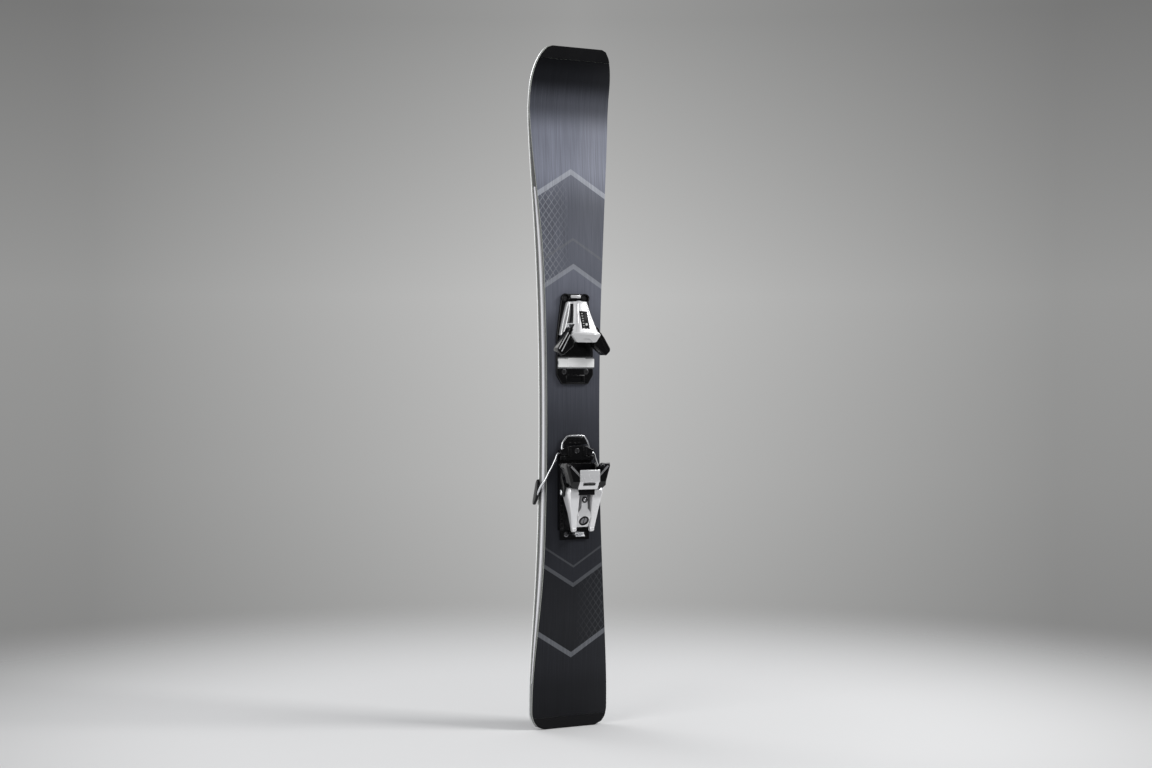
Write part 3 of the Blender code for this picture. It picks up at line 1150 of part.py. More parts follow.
def brake_wire_corners():
    """Corners of the brake wire's right half, from the foot up to the middle of the pedal bar."""
    foot = BRAKE_FOOT_X
    leg = BRAKE_LEG_X
    ear = BRAKE_BASE_HALF_WIDTH
    axle_z, axle_up = BRAKE_AXLE_Z, BRAKE_AXLE_HEIGHT
    return [(foot, -0.0150, -0.0253), (foot, 0.0020, -0.0108), (foot - 0.0004, 0.0095, -0.0040),
            (foot - 0.0024, 0.0150, 0.0008), (foot - 0.0058, 0.0205, 0.0028), (0.0470, 0.0300, 0.0040),
            (0.0405, 0.0422, 0.0055), (ear + 0.0046, axle_z - 0.0090, axle_up - 0.0006),
            (ear + 0.0032, axle_z - 0.0034, axle_up - 0.0001), (ear + 0.0013, axle_z - 0.0004, axle_up),
            (ear, axle_z, axle_up),
            (ear - BRAKE_EAR_THICKNESS / 2, axle_z, axle_up), (ear - BRAKE_EAR_THICKNESS, axle_z, axle_up),
            (leg + 0.0011, axle_z + 0.0006, axle_up), (leg, axle_z + 0.0040, axle_up - 0.0005),
            (leg, BRAKE_BAR_Z - 0.0130, 0.0050), (BRAKE_BAR_X + 0.0016, BRAKE_BAR_Z - 0.0018, 0.0064),
            (BRAKE_BAR_X - 0.0018, BRAKE_BAR_Z, 0.0066)]


def make_brake():
    """One bent steel wire with a foot on each end and the pedal pad inside its front loop."""
    right = [heel(*corner) for corner in brake_wire_corners()]
    left = [Vector((-point.x, point.y, point.z)) for point in reversed(right)]
    tube("brake_wire", smooth_path(right, 2)[:-1] + smooth_path([right[-1], left[0]], 2)[:-1]
         + smooth_path(left, 2), BRAKE_WIRE_RADIUS, SPRING_STEEL)
    pad_low = 0.0052
    pad = plan_prism("brake_pedal", heel, mirrored([(BRAKE_BAR_X - 0.0012, BRAKE_BAR_Z - 0.0024),
                                                    (BRAKE_LEG_X - 0.0034, BRAKE_BAR_Z - 0.0130),
                                                    (BRAKE_LEG_X - 0.0034, BRAKE_BAR_Z - 0.0140)]),
                     pad_low, pad_low + BRAKE_PAD_THICKNESS, BLACK_PLASTIC)
    soften(pad, 0.0006, 60.0)
    foot_profile = [(0.0160, 0.0040), (0.0205, 0.0090), (0.0165, 0.0125), (0.0020, 0.0112),
                    (-0.0120, 0.0050), (-0.0220, -0.0035), (-0.0215, -0.0078), (-0.0160, -0.0080),
                    (-0.0040, -0.0035)]
    for side, sign in (("left", -1), ("right", 1)):
        x_low = sign * BRAKE_FOOT_X - BRAKE_FOOT_THICKNESS / 2
        foot = side_prism("brake_foot_" + side, lambda x, z, h: at(x, HEEL_PIN_Z + z, h), foot_profile,
                          x_low, x_low + BRAKE_FOOT_THICKNESS, BLACK_PLASTIC)
        soften(foot, 0.0008, 60.0)
        end, bend = [heel(sign * x, z, up) for x, z, up in brake_wire_corners()[:2]]
        reach = (bend - end).normalized()
        cut(foot, rod("foot_bore_" + side, end - reach * GAP, bend + reach * 0.008,
                      BRAKE_WIRE_RADIUS + BORE_GAP))


def make_screw_bores():
    """Holes in the ski for every binding screw."""
    for name in ("topsheet", "upper_laminate", "wood_core"):
        layer_object = bpy.data.objects[name]
        for top, depth in SCREWS:
            shank_hole(layer_object, top, depth)


def set_pivot(names, point):
    """Move the origin of moving pieces onto their joint's axis."""
    for name in names:
        thing = bpy.data.objects[name]
        thing.data.transform(Matrix.Translation(-point))
        thing.location = point
        for guide in thing.children:
            guide.matrix_parent_inverse = Matrix.Translation(-point)


make_base_and_edges()
make_core_and_skins()
make_sidewalls()
make_guards()
make_toe_plate()
make_toe_housing()
make_toe_mechanism()
make_toe_wings()
make_afd()
make_front_clip()
make_track()
make_carriage()
make_latch()
make_heel_body()
make_heel_mechanism()
make_heel_pin()
make_lever()
make_cup()
make_brake_base()
make_brake()
make_screw_bores()

heel_pin_centre = heel(0.0, 0.0, HEEL_PIN_HEIGHT)
brake_axle_centre = heel(0.0, BRAKE_AXLE_Z, BRAKE_AXLE_HEIGHT)
set_pivot(["toe_wing_left"], toe(-WING_PIVOT_X, WING_PIVOT_Z, WING_LOW))
set_pivot(["toe_wing_right"], toe(WING_PIVOT_X, WING_PIVOT_Z, WING_LOW))
set_pivot(["toe_din_screw", "toe_spring_nut"], toe(0.0, HOUSING_FRONT, TOE_BORE_HEIGHT))
set_pivot(["afd_plate"], toe(0.0, AFD_Z, TOE_PLATE_THICKNESS))
set_pivot(["heel_cup", "heel_cup_cover", "heel_lever"], heel_pin_centre)
set_pivot(["heel_din_screw", "heel_spring_nut"], heel_axis_point(0.0))
set_pivot(["length_latch"], heel(0.0, LATCH_PIN_Z, LATCH_PIN_HEIGHT))
set_pivot(["brake_wire", "brake_pedal", "brake_foot_left", "brake_foot_right"], brake_axle_centre)
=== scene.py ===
import math

import bmesh
import bpy
from mathutils import Matrix, Vector


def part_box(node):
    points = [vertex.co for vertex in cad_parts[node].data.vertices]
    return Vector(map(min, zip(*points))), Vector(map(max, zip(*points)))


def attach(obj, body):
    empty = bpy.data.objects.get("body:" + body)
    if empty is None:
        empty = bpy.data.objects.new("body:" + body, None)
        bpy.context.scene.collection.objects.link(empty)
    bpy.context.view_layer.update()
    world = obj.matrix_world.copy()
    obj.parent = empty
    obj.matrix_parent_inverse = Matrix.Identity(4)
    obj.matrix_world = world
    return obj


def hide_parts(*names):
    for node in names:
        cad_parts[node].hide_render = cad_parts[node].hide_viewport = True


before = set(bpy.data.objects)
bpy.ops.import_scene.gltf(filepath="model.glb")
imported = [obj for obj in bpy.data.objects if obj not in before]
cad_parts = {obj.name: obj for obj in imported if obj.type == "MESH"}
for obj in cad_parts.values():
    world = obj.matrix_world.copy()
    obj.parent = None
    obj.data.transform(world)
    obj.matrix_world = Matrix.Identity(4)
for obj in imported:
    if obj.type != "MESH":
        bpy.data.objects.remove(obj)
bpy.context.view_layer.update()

scene = bpy.context.scene
scene.view_settings.view_transform = "Standard"


# The studio: a pale floor whose far part fades out before a grey wall with painted shade, darker low
# down, at the top and towards the sides, large soft lamps on both sides, a dim room behind the camera, and a
# level camera to the left of the ski.
WALL_SPAN = (-0.16, 0.20)
WALL_SHADED_TONES = ((0.0, 0.400), (0.30, 0.500), (0.58, 0.550), (1.0, 0.330))
WALL_SIDE_SHADE = (0.26, 0.56)
FLOOR_GREY = 0.850
FLOOR_FADE = (0.50, 1.75)
DIM_FRONT = 0.09
BRIGHT_BACK = 1.20
FRONT_FADE = (-0.75, 0.35)
CAMERA_AZIMUTH = math.radians(-27.0)
CAMERA_DISTANCE = 2.91
CAMERA_HEIGHT = 0.5575
CAMERA_SIDESTEP = 0.0142
PHOTO_FOCAL_PIXELS = 1785.0
PHOTO_WIDTH = 1152.0
LAMP_AIM = Vector((0.0, 0.0, 0.6))
ROOM_COLOUR = (0.80, 0.81, 0.83, 1.0)
ROOM_LIGHT = 0.50
FLOOR_RADIUS = 9.0
FLOOR_DROP = 0.0005

base_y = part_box("running_base")[1].y
camera_data = bpy.data.cameras.new("studio_camera")
camera = bpy.data.objects.new("studio_camera", camera_data)
scene.collection.objects.link(camera)
camera_data.sensor_width = 36.0
camera_data.lens = camera_data.sensor_width * PHOTO_FOCAL_PIXELS / PHOTO_WIDTH
towards = Vector((-math.sin(CAMERA_AZIMUTH), math.cos(CAMERA_AZIMUTH), 0.0))
rightwards = Vector((towards.y, -towards.x, 0.0))
aim = Vector((0.0, base_y, CAMERA_HEIGHT)) + rightwards * CAMERA_SIDESTEP
camera.location = aim - towards * CAMERA_DISTANCE
camera.rotation_euler = towards.to_track_quat("-Z", "Y").to_euler()
scene.camera = camera


def soft_lamp(name, place, size, power):
    """Square lamp that faces the middle of the ski."""
    light = bpy.data.lights.new(name, "AREA")
    light.size = size
    light.energy = power
    lamp = bpy.data.objects.new(name, light)
    scene.collection.objects.link(lamp)
    lamp.location = place
    lamp.rotation_euler = (LAMP_AIM - lamp.location).to_track_quat("-Z", "Y").to_euler()


def feed(tree, socket, value):
    """Link an output to a socket, or set the socket to a value."""
    if isinstance(value, bpy.types.NodeSocket):
        tree.links.new(value, socket)
    else:
        socket.default_value = value


def calculate(tree, operation, *values):
    """Math node on numbers and outputs."""
    made = tree.nodes.new("ShaderNodeMath")
    made.operation = operation
    for socket, value in zip(made.inputs, values):
        feed(tree, socket, value)
    return made.outputs[0]


def remap(tree, value, source, target, curve="LINEAR"):
    """Carry a value from one range to another, held at both ends."""
    made = tree.nodes.new("ShaderNodeMapRange")
    made.interpolation_type = curve
    for name, given in zip(("Value", "From Min", "From Max", "To Min", "To Max"), (value, *source, *target)):
        feed(tree, made.inputs[name], given)
    return made.outputs["Result"]


def grey_ramp(tree, place, tones, tint, curve="LINEAR"):
    """Tinted greys that follow one another along a place."""
    made = tree.nodes.new("ShaderNodeValToRGB")
    ramp = made.color_ramp
    ramp.interpolation = curve
    while len(ramp.elements) < len(tones):
        ramp.elements.new(0.5)
    for stop, (position, grey) in zip(ramp.elements, tones):
        stop.position = position
        stop.color = (*(grey * share for share in tint), 1.0)
    tree.links.new(place, made.inputs["Fac"])
    return made.outputs["Color"]


def mix_shaders(tree, factor, first, second):
    """Shader between two shaders."""
    made = tree.nodes.new("ShaderNodeMixShader")
    for socket, given in zip(made.inputs, (factor, first, second)):
        tree.links.new(given, socket)
    return made.outputs[0]


soft_lamp("key_lamp", (2.2, -1.8, 2.3), 1.1, 62.0)
soft_lamp("fill_lamp", (-2.6, -1.1, 1.3), 1.6, 24.0)
soft_lamp("back_lamp", (-0.8, 2.4, 2.4), 1.6, 16.0)

world = bpy.data.worlds.new("studio_world")
scene.world = world
world.use_nodes = True
air = world.node_tree
air.nodes.clear()
air_out = air.nodes.new("ShaderNodeOutputWorld")
wall_light, room_light, mirrored_light = (air.nodes.new("ShaderNodeBackground") for _ in range(3))
room_light.inputs["Color"].default_value = ROOM_COLOUR
room_light.inputs["Strength"].default_value = ROOM_LIGHT
ray = air.nodes.new("ShaderNodeLightPath")
seen = calculate(air, "MAXIMUM", ray.outputs["Is Camera Ray"], ray.outputs["Is Transmission Ray"])
air_place = air.nodes.new("ShaderNodeTexCoord")
air_split = air.nodes.new("ShaderNodeSeparateXYZ")
air_aside = air.nodes.new("ShaderNodeVectorMath")
air_aside.operation = "DOT_PRODUCT"
air_aside.inputs[1].default_value = rightwards
air.links.new(air_place.outputs["Generated"], air_split.inputs[0])
air.links.new(air_place.outputs["Generated"], air_aside.inputs[0])
room_tone = remap(air, air_split.outputs["Y"], FRONT_FADE, (DIM_FRONT, BRIGHT_BACK))
air.links.new(room_tone, mirrored_light.inputs["Color"])
# Painted shade on the wall: its grey falls off low down, towards the top and to the sides.
wall_height = remap(air, air_split.outputs["Z"], WALL_SPAN, (0.0, 1.0))
air.links.new(grey_ramp(air, wall_height, WALL_SHADED_TONES, (1.0, 1.0, 0.99)), wall_light.inputs["Color"])
wall_side = calculate(air, "ABSOLUTE", air_aside.outputs["Value"])
wall_side_shade = remap(air, wall_side, (0.0, WALL_SIDE_SHADE[0]), (1.0, WALL_SIDE_SHADE[1]))
air.links.new(wall_side_shade, wall_light.inputs["Strength"])
unseen_light = mix_shaders(air, ray.outputs["Is Glossy Ray"], room_light.outputs[0],
                           mirrored_light.outputs[0])
air.links.new(mix_shaders(air, seen, unseen_light, wall_light.outputs[0]), air_out.inputs["Surface"])

floor_bm = bmesh.new()
bmesh.ops.create_circle(floor_bm, cap_ends=True, segments=96, radius=FLOOR_RADIUS)
floor_mesh = bpy.data.meshes.new("studio_floor")
floor_bm.to_mesh(floor_mesh)
floor_bm.free()
floor = bpy.data.objects.new("studio_floor", floor_mesh)
scene.collection.objects.link(floor)
floor.location.z = -FLOOR_DROP
floor_finish = bpy.data.materials.new("studio_floor_finish")
floor_finish.use_nodes = True
tree = floor_finish.node_tree
tree.nodes.clear()
floor_out = tree.nodes.new("ShaderNodeOutputMaterial")
floor_near = tree.nodes.new("ShaderNodeBsdfDiffuse")
floor_near.inputs["Color"].default_value = (FLOOR_GREY, FLOOR_GREY, FLOOR_GREY, 1.0)
floor_far = tree.nodes.new("ShaderNodeBsdfTransparent")
floor_place = tree.nodes.new("ShaderNodeTexCoord")
floor_reach = tree.nodes.new("ShaderNodeVectorMath")
floor_reach.operation = "LENGTH"
tree.links.new(floor_place.outputs["Object"], floor_reach.inputs[0])
floor_fade = remap(tree, floor_reach.outputs["Value"], FLOOR_FADE, (0.0, 1.0), "SMOOTHSTEP")
tree.links.new(mix_shaders(tree, floor_fade, floor_near.outputs[0], floor_far.outputs[0]),
               floor_out.inputs["Surface"])
floor.data.materials.append(floor_finish)


# The running base: black sintered plastic, ground with fine lengthwise lines and waxed, set
# between two hardened steel edges that run round the ski and meet at the middle of the tip.
SKI_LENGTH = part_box("tip_guard")[1].z + 0.0003
BASE_WAIST = 0.1035
BASE_SHOVEL = 0.1448
BASE_TAIL = 0.1385
WAIST_Z = 0.500
SHOVEL_Z = 1.014
TAIL_WIDE_Z = 0.045
TIP_CORNER = (0.0265, 0.065)
TAIL_CORNER = (0.022, 0.030)
SIDECUT_FULLNESS = 2.0
MID_THICKNESS = 0.0225
TIP_RISE = 0.030
TIP_TURN_LENGTH = 0.115
SIDE_LEAN = 0.004
GAP = 0.0003
EDGE_WIDTH = 0.0020
EDGE_HEIGHT = 0.0020
FLANGE_REACH = 0.0060
FLANGE_THICKNESS = 0.0005
LAYER_START = 0.0053
CORNER_STEPS = 14
LONG_STEPS = 80
SIDES = (("left", -1), ("right", 1))


def mix_colours(tree, factor, first, second, blend="MIX"):
    """Colour between two colours."""
    made = tree.nodes.new("ShaderNodeMix")
    made.data_type = "RGBA"
    made.blend_type = blend
    for name, given in (("Factor", factor), ("A", first), ("B", second)):
        feed(tree, made.inputs[name], given)
    return made.outputs["Result"]


def surface_group():
    """Fine grain, soft smudges and a matching bump that every plain finish shares."""
    group = bpy.data.node_groups.new("worked_surface", "ShaderNodeTree")
    for name, kind in (("Colour", "NodeSocketColor"), ("Tint", "NodeSocketColor"),
                       ("Grain", "NodeSocketVector"), ("Smudge Scale", "NodeSocketFloat"),
                       ("Gloss Low", "NodeSocketFloat"), ("Gloss High", "NodeSocketFloat"),
                       ("Depth", "NodeSocketFloat")):
        group.interface.new_socket(name, in_out="INPUT", socket_type=kind)
    for name, kind in (("Colour", "NodeSocketColor"), ("Roughness", "NodeSocketFloat"),
                       ("Normal", "NodeSocketVector")):
        group.interface.new_socket(name, in_out="OUTPUT", socket_type=kind)
    entry = group.nodes.new("NodeGroupInput")
    leave = group.nodes.new("NodeGroupOutput")
    place = group.nodes.new("ShaderNodeTexCoord")
    stretch = group.nodes.new("ShaderNodeVectorMath")
    stretch.operation = "MULTIPLY"
    grain = group.nodes.new("ShaderNodeTexNoise")
    grain.inputs["Scale"].default_value = 1.0
    grain.inputs["Detail"].default_value = 3.0
    smudge = group.nodes.new("ShaderNodeTexNoise")
    smudge.inputs["Detail"].default_value = 4.0
    smudge.inputs["Roughness"].default_value = 0.6
    relief = group.nodes.new("ShaderNodeBump")
    relief.inputs["Strength"].default_value = 1.0
    link = group.links.new
    link(place.outputs["Object"], stretch.inputs[0])
    link(entry.outputs["Grain"], stretch.inputs[1])
    link(stretch.outputs["Vector"], grain.inputs["Vector"])
    link(place.outputs["Object"], smudge.inputs["Vector"])
    link(entry.outputs["Smudge Scale"], smudge.inputs["Scale"])
    half_grain = calculate(group, "MULTIPLY", grain.outputs["Fac"], 0.5)
    blend = calculate(group, "MULTIPLY_ADD", smudge.outputs["Fac"], 0.5, half_grain)
    tinted = mix_colours(group, blend, entry.outputs["Colour"], entry.outputs["Tint"])
    gloss = remap(group, blend, (0.3, 0.7), (entry.outputs["Gloss Low"], entry.outputs["Gloss High"]))
    link(grain.outputs["Fac"], relief.inputs["Height"])
    link(entry.outputs["Depth"], relief.inputs["Distance"])
    link(tinted, leave.inputs["Colour"])
    link(gloss, leave.inputs["Roughness"])
    link(relief.outputs["Normal"], leave.inputs["Normal"])
    return group


WORKED_SURFACE = surface_group()


def finish(name, colour, tint, gloss, grain, depth, smudge=60.0, metallic=0.0, coat=0.0, shine=0.5):
    """A finish with its own colours, gloss range, grain and relief on the shared surface effect."""
    made = bpy.data.materials.new(name)
    made.use_nodes = True
    nodes = made.node_tree.nodes
    shader = nodes["Principled BSDF"]
    surface = nodes.new("ShaderNodeGroup")
    surface.name = "surface"
    surface.node_tree = WORKED_SURFACE
    surface.inputs["Colour"].default_value = (*colour, 1.0)
    surface.inputs["Tint"].default_value = (*tint, 1.0)
    surface.inputs["Grain"].default_value = grain
    surface.inputs["Smudge Scale"].default_value = smudge
    surface.inputs["Gloss Low"].default_value = gloss[0]
    surface.inputs["Gloss High"].default_value = gloss[1]
    surface.inputs["Depth"].default_value = depth
    shader.inputs["Metallic"].default_value = metallic
    shader.inputs["Coat Weight"].default_value = coat
    shader.inputs["Coat Roughness"].default_value = 0.12
    shader.inputs["Specular IOR Level"].default_value = shine
    link = made.node_tree.links.new
    link(surface.outputs["Colour"], shader.inputs["Base Color"])
    link(surface.outputs["Roughness"], shader.inputs["Roughness"])
    link(surface.outputs["Normal"], shader.inputs["Normal"])
    return made


def piece(name, bm, made, body, slot, *stands_for, smooth=35.0):
    """Turn a mesh into a named piece that rides on a body and stands for its CAD nodes."""
    mesh = bpy.data.meshes.new(name)
    bm.to_mesh(mesh)
    bm.free()
    mesh.shade_smooth()
    mesh.set_sharp_from_angle(angle=math.radians(smooth))
    made_piece = bpy.data.objects.new(name, mesh)
    scene.collection.objects.link(made_piece)
    made_piece.data.materials.append(made)
    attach(made_piece, body)
    if stands_for:
        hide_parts(*stands_for)


def sweep(sections, shares=None):
    """Extrude a closed section from place to place along the ski; shares mark its points."""
    bm = bmesh.new()
    mark = bm.verts.layers.float.new("height_share")
    ring = [bm.verts.new(point) for point in sections[0]]
    edges = [bm.edges.new((ring[i], ring[(i + 1) % len(ring)])) for i in range(len(ring))]
    bmesh.ops.contextual_create(bm, geom=edges)
    order = {vert.co.to_tuple(7): i for i, vert in enumerate(ring)}
    for i, vert in enumerate(ring):
        vert[mark] = shares[i] if shares else 0.0
    for section in sections[1:]:
        grown = bmesh.ops.extrude_edge_only(bm, edges=edges)["geom"]
        verts = [item for item in grown if isinstance(item, bmesh.types.BMVert)]
        edges = [item for item in grown if isinstance(item, bmesh.types.BMEdge)
                 and item.verts[0] in verts and item.verts[1] in verts]
        places = {}
        for vert in verts:
            i = order[vert.co.to_tuple(7)]
            vert.co = section[i]
            vert[mark] = shares[i] if shares else 0.0
            places[vert.co.to_tuple(7)] = i
        order = places
    bmesh.ops.contextual_create(bm, geom=edges)
    bmesh.ops.recalc_face_normals(bm, faces=bm.faces)
    return bm


def rise(z):
    """Height of the base where the tip turns up."""
    return TIP_RISE * (max(z - SKI_LENGTH + TIP_TURN_LENGTH, 0.0) / TIP_TURN_LENGTH) ** 2


def side_half(z):
    """Half width of the base between the rounded corners."""
    widest, place = (BASE_SHOVEL, SHOVEL_Z) if z > WAIST_Z else (BASE_TAIL, TAIL_WIDE_Z)
    share = min((z - WAIST_Z) / (place - WAIST_Z), 1.0)
    bulge = share ** 2 + SIDECUT_FULLNESS * share ** 5 * (1 - share)
    return (BASE_WAIST + (widest - BASE_WAIST) * bulge) / 2


def half_width(z, inset):
    """Half width of the outline drawn in by an inset, round the corners too."""
    if z > SKI_LENGTH - TIP_CORNER[1]:
        across, along, out = *TIP_CORNER, z - (SKI_LENGTH - TIP_CORNER[1])
    elif z < TAIL_CORNER[1]:
        across, along, out = *TAIL_CORNER, TAIL_CORNER[1] - z
    else:
        return side_half(z) - inset
    share = min(out / (along - inset), 1.0)
    return side_half(z) - across + (across - inset) * math.sqrt(1 - share ** 2)


def lean(height):
    """How far the leaning side stands in at a height above the base."""
    return SIDE_LEAN * height / MID_THICKNESS


def places(z_from, z_to, inset):
    """Places along the ski, close together round the corners."""
    tip_centre = SKI_LENGTH - TIP_CORNER[1]
    round_steps = [math.radians(90.0 * step / CORNER_STEPS) for step in range(1, CORNER_STEPS + 1)]
    spots = [TAIL_CORNER[1] - (TAIL_CORNER[1] - inset) * math.sin(a) for a in round_steps]
    spots += [tip_centre + (TIP_CORNER[1] - inset) * math.sin(a) for a in round_steps]
    spots += [TAIL_CORNER[1] + (tip_centre - TAIL_CORNER[1]) * step / LONG_STEPS
              for step in range(LONG_STEPS + 1)]
    return [z_from, *sorted(z for z in spots if z_from + 0.0004 < z < z_to - 0.0004), z_to]


def at(x, z, height):
    """Point at a distance across the ski, a place along it and a height above the base."""
    return Vector((x, base_y - height, z))


def ski_layer(z_from, z_to, inset, low, high, edge_round=0.0):
    """Layer across the ski between two heights, with its upper corners rounded."""
    sections = []
    for z in places(z_from, z_to, inset):
        wide, bottom, top = half_width(z, inset), low(z), high(z)
        soft = min(edge_round, (top - bottom) * 0.8)
        half = [(wide - lean(bottom), bottom), (wide - lean(top - soft), top - soft),
                (wide - lean(top) - soft * 0.35, top - soft * 0.35), (wide - lean(top) - soft, top)]
        if not soft:
            half = half[:2]
        ring = half + [(-x, height) for x, height in reversed(half)]
        sections.append([at(x, z, rise(z) + height) for x, height in ring])
    return sweep(sections)


base_finish = finish("waxed_base", (0.012, 0.012, 0.014), (0.026, 0.026, 0.029), (0.24, 0.40),
                     (900.0, 900.0, 14.0), 0.00002, smudge=9.0, shine=0.16)
edge_finish = finish("ground_edge", (0.90, 0.91, 0.92), (0.97, 0.97, 0.98), (0.22, 0.38),
                     (1600.0, 1600.0, 90.0), 0.00001, smudge=30.0, metallic=0.90)
piece("base_skin", ski_layer(LAYER_START, SKI_LENGTH - EDGE_WIDTH - GAP, EDGE_WIDTH + GAP,
                             lambda z: 0.0, lambda z: EDGE_HEIGHT - FLANGE_THICKNESS - GAP),
      base_finish, "ski", "base_plastic", "running_base")


def edge_points(inset):
    """Half outline at an inset, from the end of the tail guard to the middle of the tip."""
    tail_last = math.asin((TAIL_CORNER[1] - LAYER_START) / TAIL_CORNER[1])
    tip_centre = SKI_LENGTH - TIP_CORNER[1]
    points = []
    for step in range(CORNER_STEPS):
        a = tail_last * (1 - step / CORNER_STEPS)
        points.append((side_half(0.0) - TAIL_CORNER[0] + (TAIL_CORNER[0] - inset) * math.cos(a),
                       TAIL_CORNER[1] - (TAIL_CORNER[1] - inset) * math.sin(a)))
    for step in range(LONG_STEPS + 1):
        z = TAIL_CORNER[1] + (tip_centre - TAIL_CORNER[1]) * step / LONG_STEPS
        points.append((side_half(z) - inset, z))
    for step in range(1, 17):
        a = math.radians(90.0 * step / 16)
        points.append((side_half(SKI_LENGTH) - TIP_CORNER[0] + (TIP_CORNER[0] - inset) * math.cos(a),
                       tip_centre + (TIP_CORNER[1] - inset) * math.sin(a)))
    points.append((GAP / 2, SKI_LENGTH - inset))
    return points


flange_low = EDGE_HEIGHT - FLANGE_THICKNESS
edge_outline = ((0.0, 0.0002), (0.0, EDGE_HEIGHT), (FLANGE_REACH, EDGE_HEIGHT), (FLANGE_REACH, flange_low),
                (EDGE_WIDTH, flange_low), (EDGE_WIDTH, 0.0), (0.0002, 0.0))
edge_tracks = [(edge_points(inset), height) for inset, height in edge_outline]
for side, sign in SIDES:
    rings = [[at(sign * points[i][0], points[i][1], rise(points[i][1]) + height)
              for points, height in edge_tracks] for i in range(len(edge_tracks[0][0]))]
    piece("edge_" + side, sweep(rings), edge_finish, "ski", "edge_steel", "steel_edge_" + side)


# The inside of the ski: a wood core and plastic end spacers between two sheets of glass
# cloth in resin. They are pressed together and show only as thin lines at the side.
LAMINATE_THICKNESS = 0.0006
TOPSHEET_THICKNESS = 0.0007
SKIN_INSET = 0.0004
TIP_THICKNESS = 0.0062
TAIL_THICKNESS = 0.0085
PLATEAU = (0.290, 0.730)
THIN = (0.010, 1.030)


def dress(names, made):
    """Give CAD nodes a finish."""
    for name in names:
        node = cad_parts[name]
        node.data.materials.clear()
        node.data.materials.append(made)


def ease(share):
    """Share that starts and ends softly, held between 0 and 1."""
    held = min(max(share, 0.0), 1.0)
    return held * held * (3 - 2 * held)


def thickness(z):
    """Thickness of the whole ski at a place along it."""
    if z > PLATEAU[1]:
        share = ease((z - PLATEAU[1]) / (THIN[1] - PLATEAU[1]))
        return MID_THICKNESS + (TIP_THICKNESS - MID_THICKNESS) * share
    share = ease((PLATEAU[0] - z) / (PLATEAU[0] - THIN[0]))
    return MID_THICKNESS + (TAIL_THICKNESS - MID_THICKNESS) * share


cloth_finish = finish("glass_cloth", (0.55, 0.58, 0.52), (0.68, 0.71, 0.64), (0.35, 0.55),
                      (700.0, 40.0, 700.0), 0.00003, smudge=120.0)
wood_finish = finish("core_wood", (0.58, 0.40, 0.23), (0.72, 0.54, 0.34), (0.5, 0.7),
                     (500.0, 120.0, 6.0), 0.00005, smudge=14.0)
spacer_finish = finish("end_spacer", (0.17, 0.17, 0.18), (0.24, 0.24, 0.25), (0.45, 0.6),
                       (500.0, 500.0, 500.0), 0.00002)
dress(("wood_core",), wood_finish)
dress(("tail_spacer", "tip_spacer"), spacer_finish)
cloth_end = SKI_LENGTH - 2 * SKIN_INSET
upper_cloth_top = TOPSHEET_THICKNESS + GAP
piece("upper_cloth", ski_layer(LAYER_START, cloth_end, SKIN_INSET,
                               lambda z: thickness(z) - upper_cloth_top - LAMINATE_THICKNESS,
                               lambda z: thickness(z) - upper_cloth_top),
      cloth_finish, "ski", "glass_cloth", "upper_laminate")
piece("lower_cloth", ski_layer(LAYER_START, cloth_end, SKIN_INSET, lambda z: EDGE_HEIGHT + GAP,
                               lambda z: EDGE_HEIGHT + GAP + LAMINATE_THICKNESS),
      cloth_finish, "ski", "glass_cloth", "lower_laminate")


# The side walls: strips of plastic beside the core, pressed in layers. From the base up they
# show black, grey, a broad white band that is a painted highlight on the light plastic, grey and a thin dark
# line; the front fifth is black.
CORE_LOW = EDGE_HEIGHT + 2 * GAP + LAMINATE_THICKNESS
SKIN_STACK = TOPSHEET_THICKNESS + 2 * GAP + LAMINATE_THICKNESS
CORE_REAR_Z = 0.075
CORE_FRONT_Z = 0.985
SIDEWALL_WIDTH = 0.0080
BLACK_SIDE_Z = 0.875
# Share of the wall's height and its grey; the broad white band at 0.34 is a painted highlight.
SIDE_LAYERS_AND_HIGHLIGHT = ((0.00, 0.010), (0.14, 0.120), (0.34, 0.800), (0.66, 0.260), (0.86, 0.035))


def object_axes(tree):
    """The places across, above and along an object, as three outputs."""
    place = tree.nodes.new("ShaderNodeTexCoord")
    split = tree.nodes.new("ShaderNodeSeparateXYZ")
    tree.links.new(place.outputs["Object"], split.inputs[0])
    return split.outputs


side_finish = finish("layered_side_and_highlight", (0.7, 0.7, 0.72), (0.7, 0.7, 0.72), (0.22, 0.36),
                     (700.0, 700.0, 60.0), 0.00003, smudge=40.0, coat=0.2)
side_tree = side_finish.node_tree
side_share = side_tree.nodes.new("ShaderNodeAttribute")
side_share.attribute_name = "height_share"
side_layers_and_highlight = grey_ramp(side_tree, side_share.outputs["Fac"], SIDE_LAYERS_AND_HIGHLIGHT, (1.0, 1.0, 1.03), "CONSTANT")
side_front = calculate(side_tree, "GREATER_THAN", object_axes(side_tree)["Z"], BLACK_SIDE_Z)
side_colour = mix_colours(side_tree, side_front, side_layers_and_highlight, (0.014, 0.014, 0.016, 1.0))
side_tree.links.new(side_colour, side_tree.nodes["Principled BSDF"].inputs["Base Color"])

for side, sign in SIDES:
    rings = []
    for z in places(CORE_REAR_Z, CORE_FRONT_Z, 0.0):
        top = thickness(z) - SKIN_STACK
        wide, narrow = half_width(z, GAP), half_width(z, SIDEWALL_WIDTH)
        rings.append([at(sign * (wide - lean(CORE_LOW)), z, rise(z) + CORE_LOW),
                      at(sign * (wide - lean(top)), z, rise(z) + top),
                      at(sign * (narrow - lean(top)), z, rise(z) + top),
                      at(sign * (narrow - lean(CORE_LOW)), z, rise(z) + CORE_LOW)])
    piece("side_" + side, sweep(rings, shares=(0.0, 1.0, 1.0, 0.0)), side_finish, "ski",
          "sidewall_plastic", "sidewall_" + side)
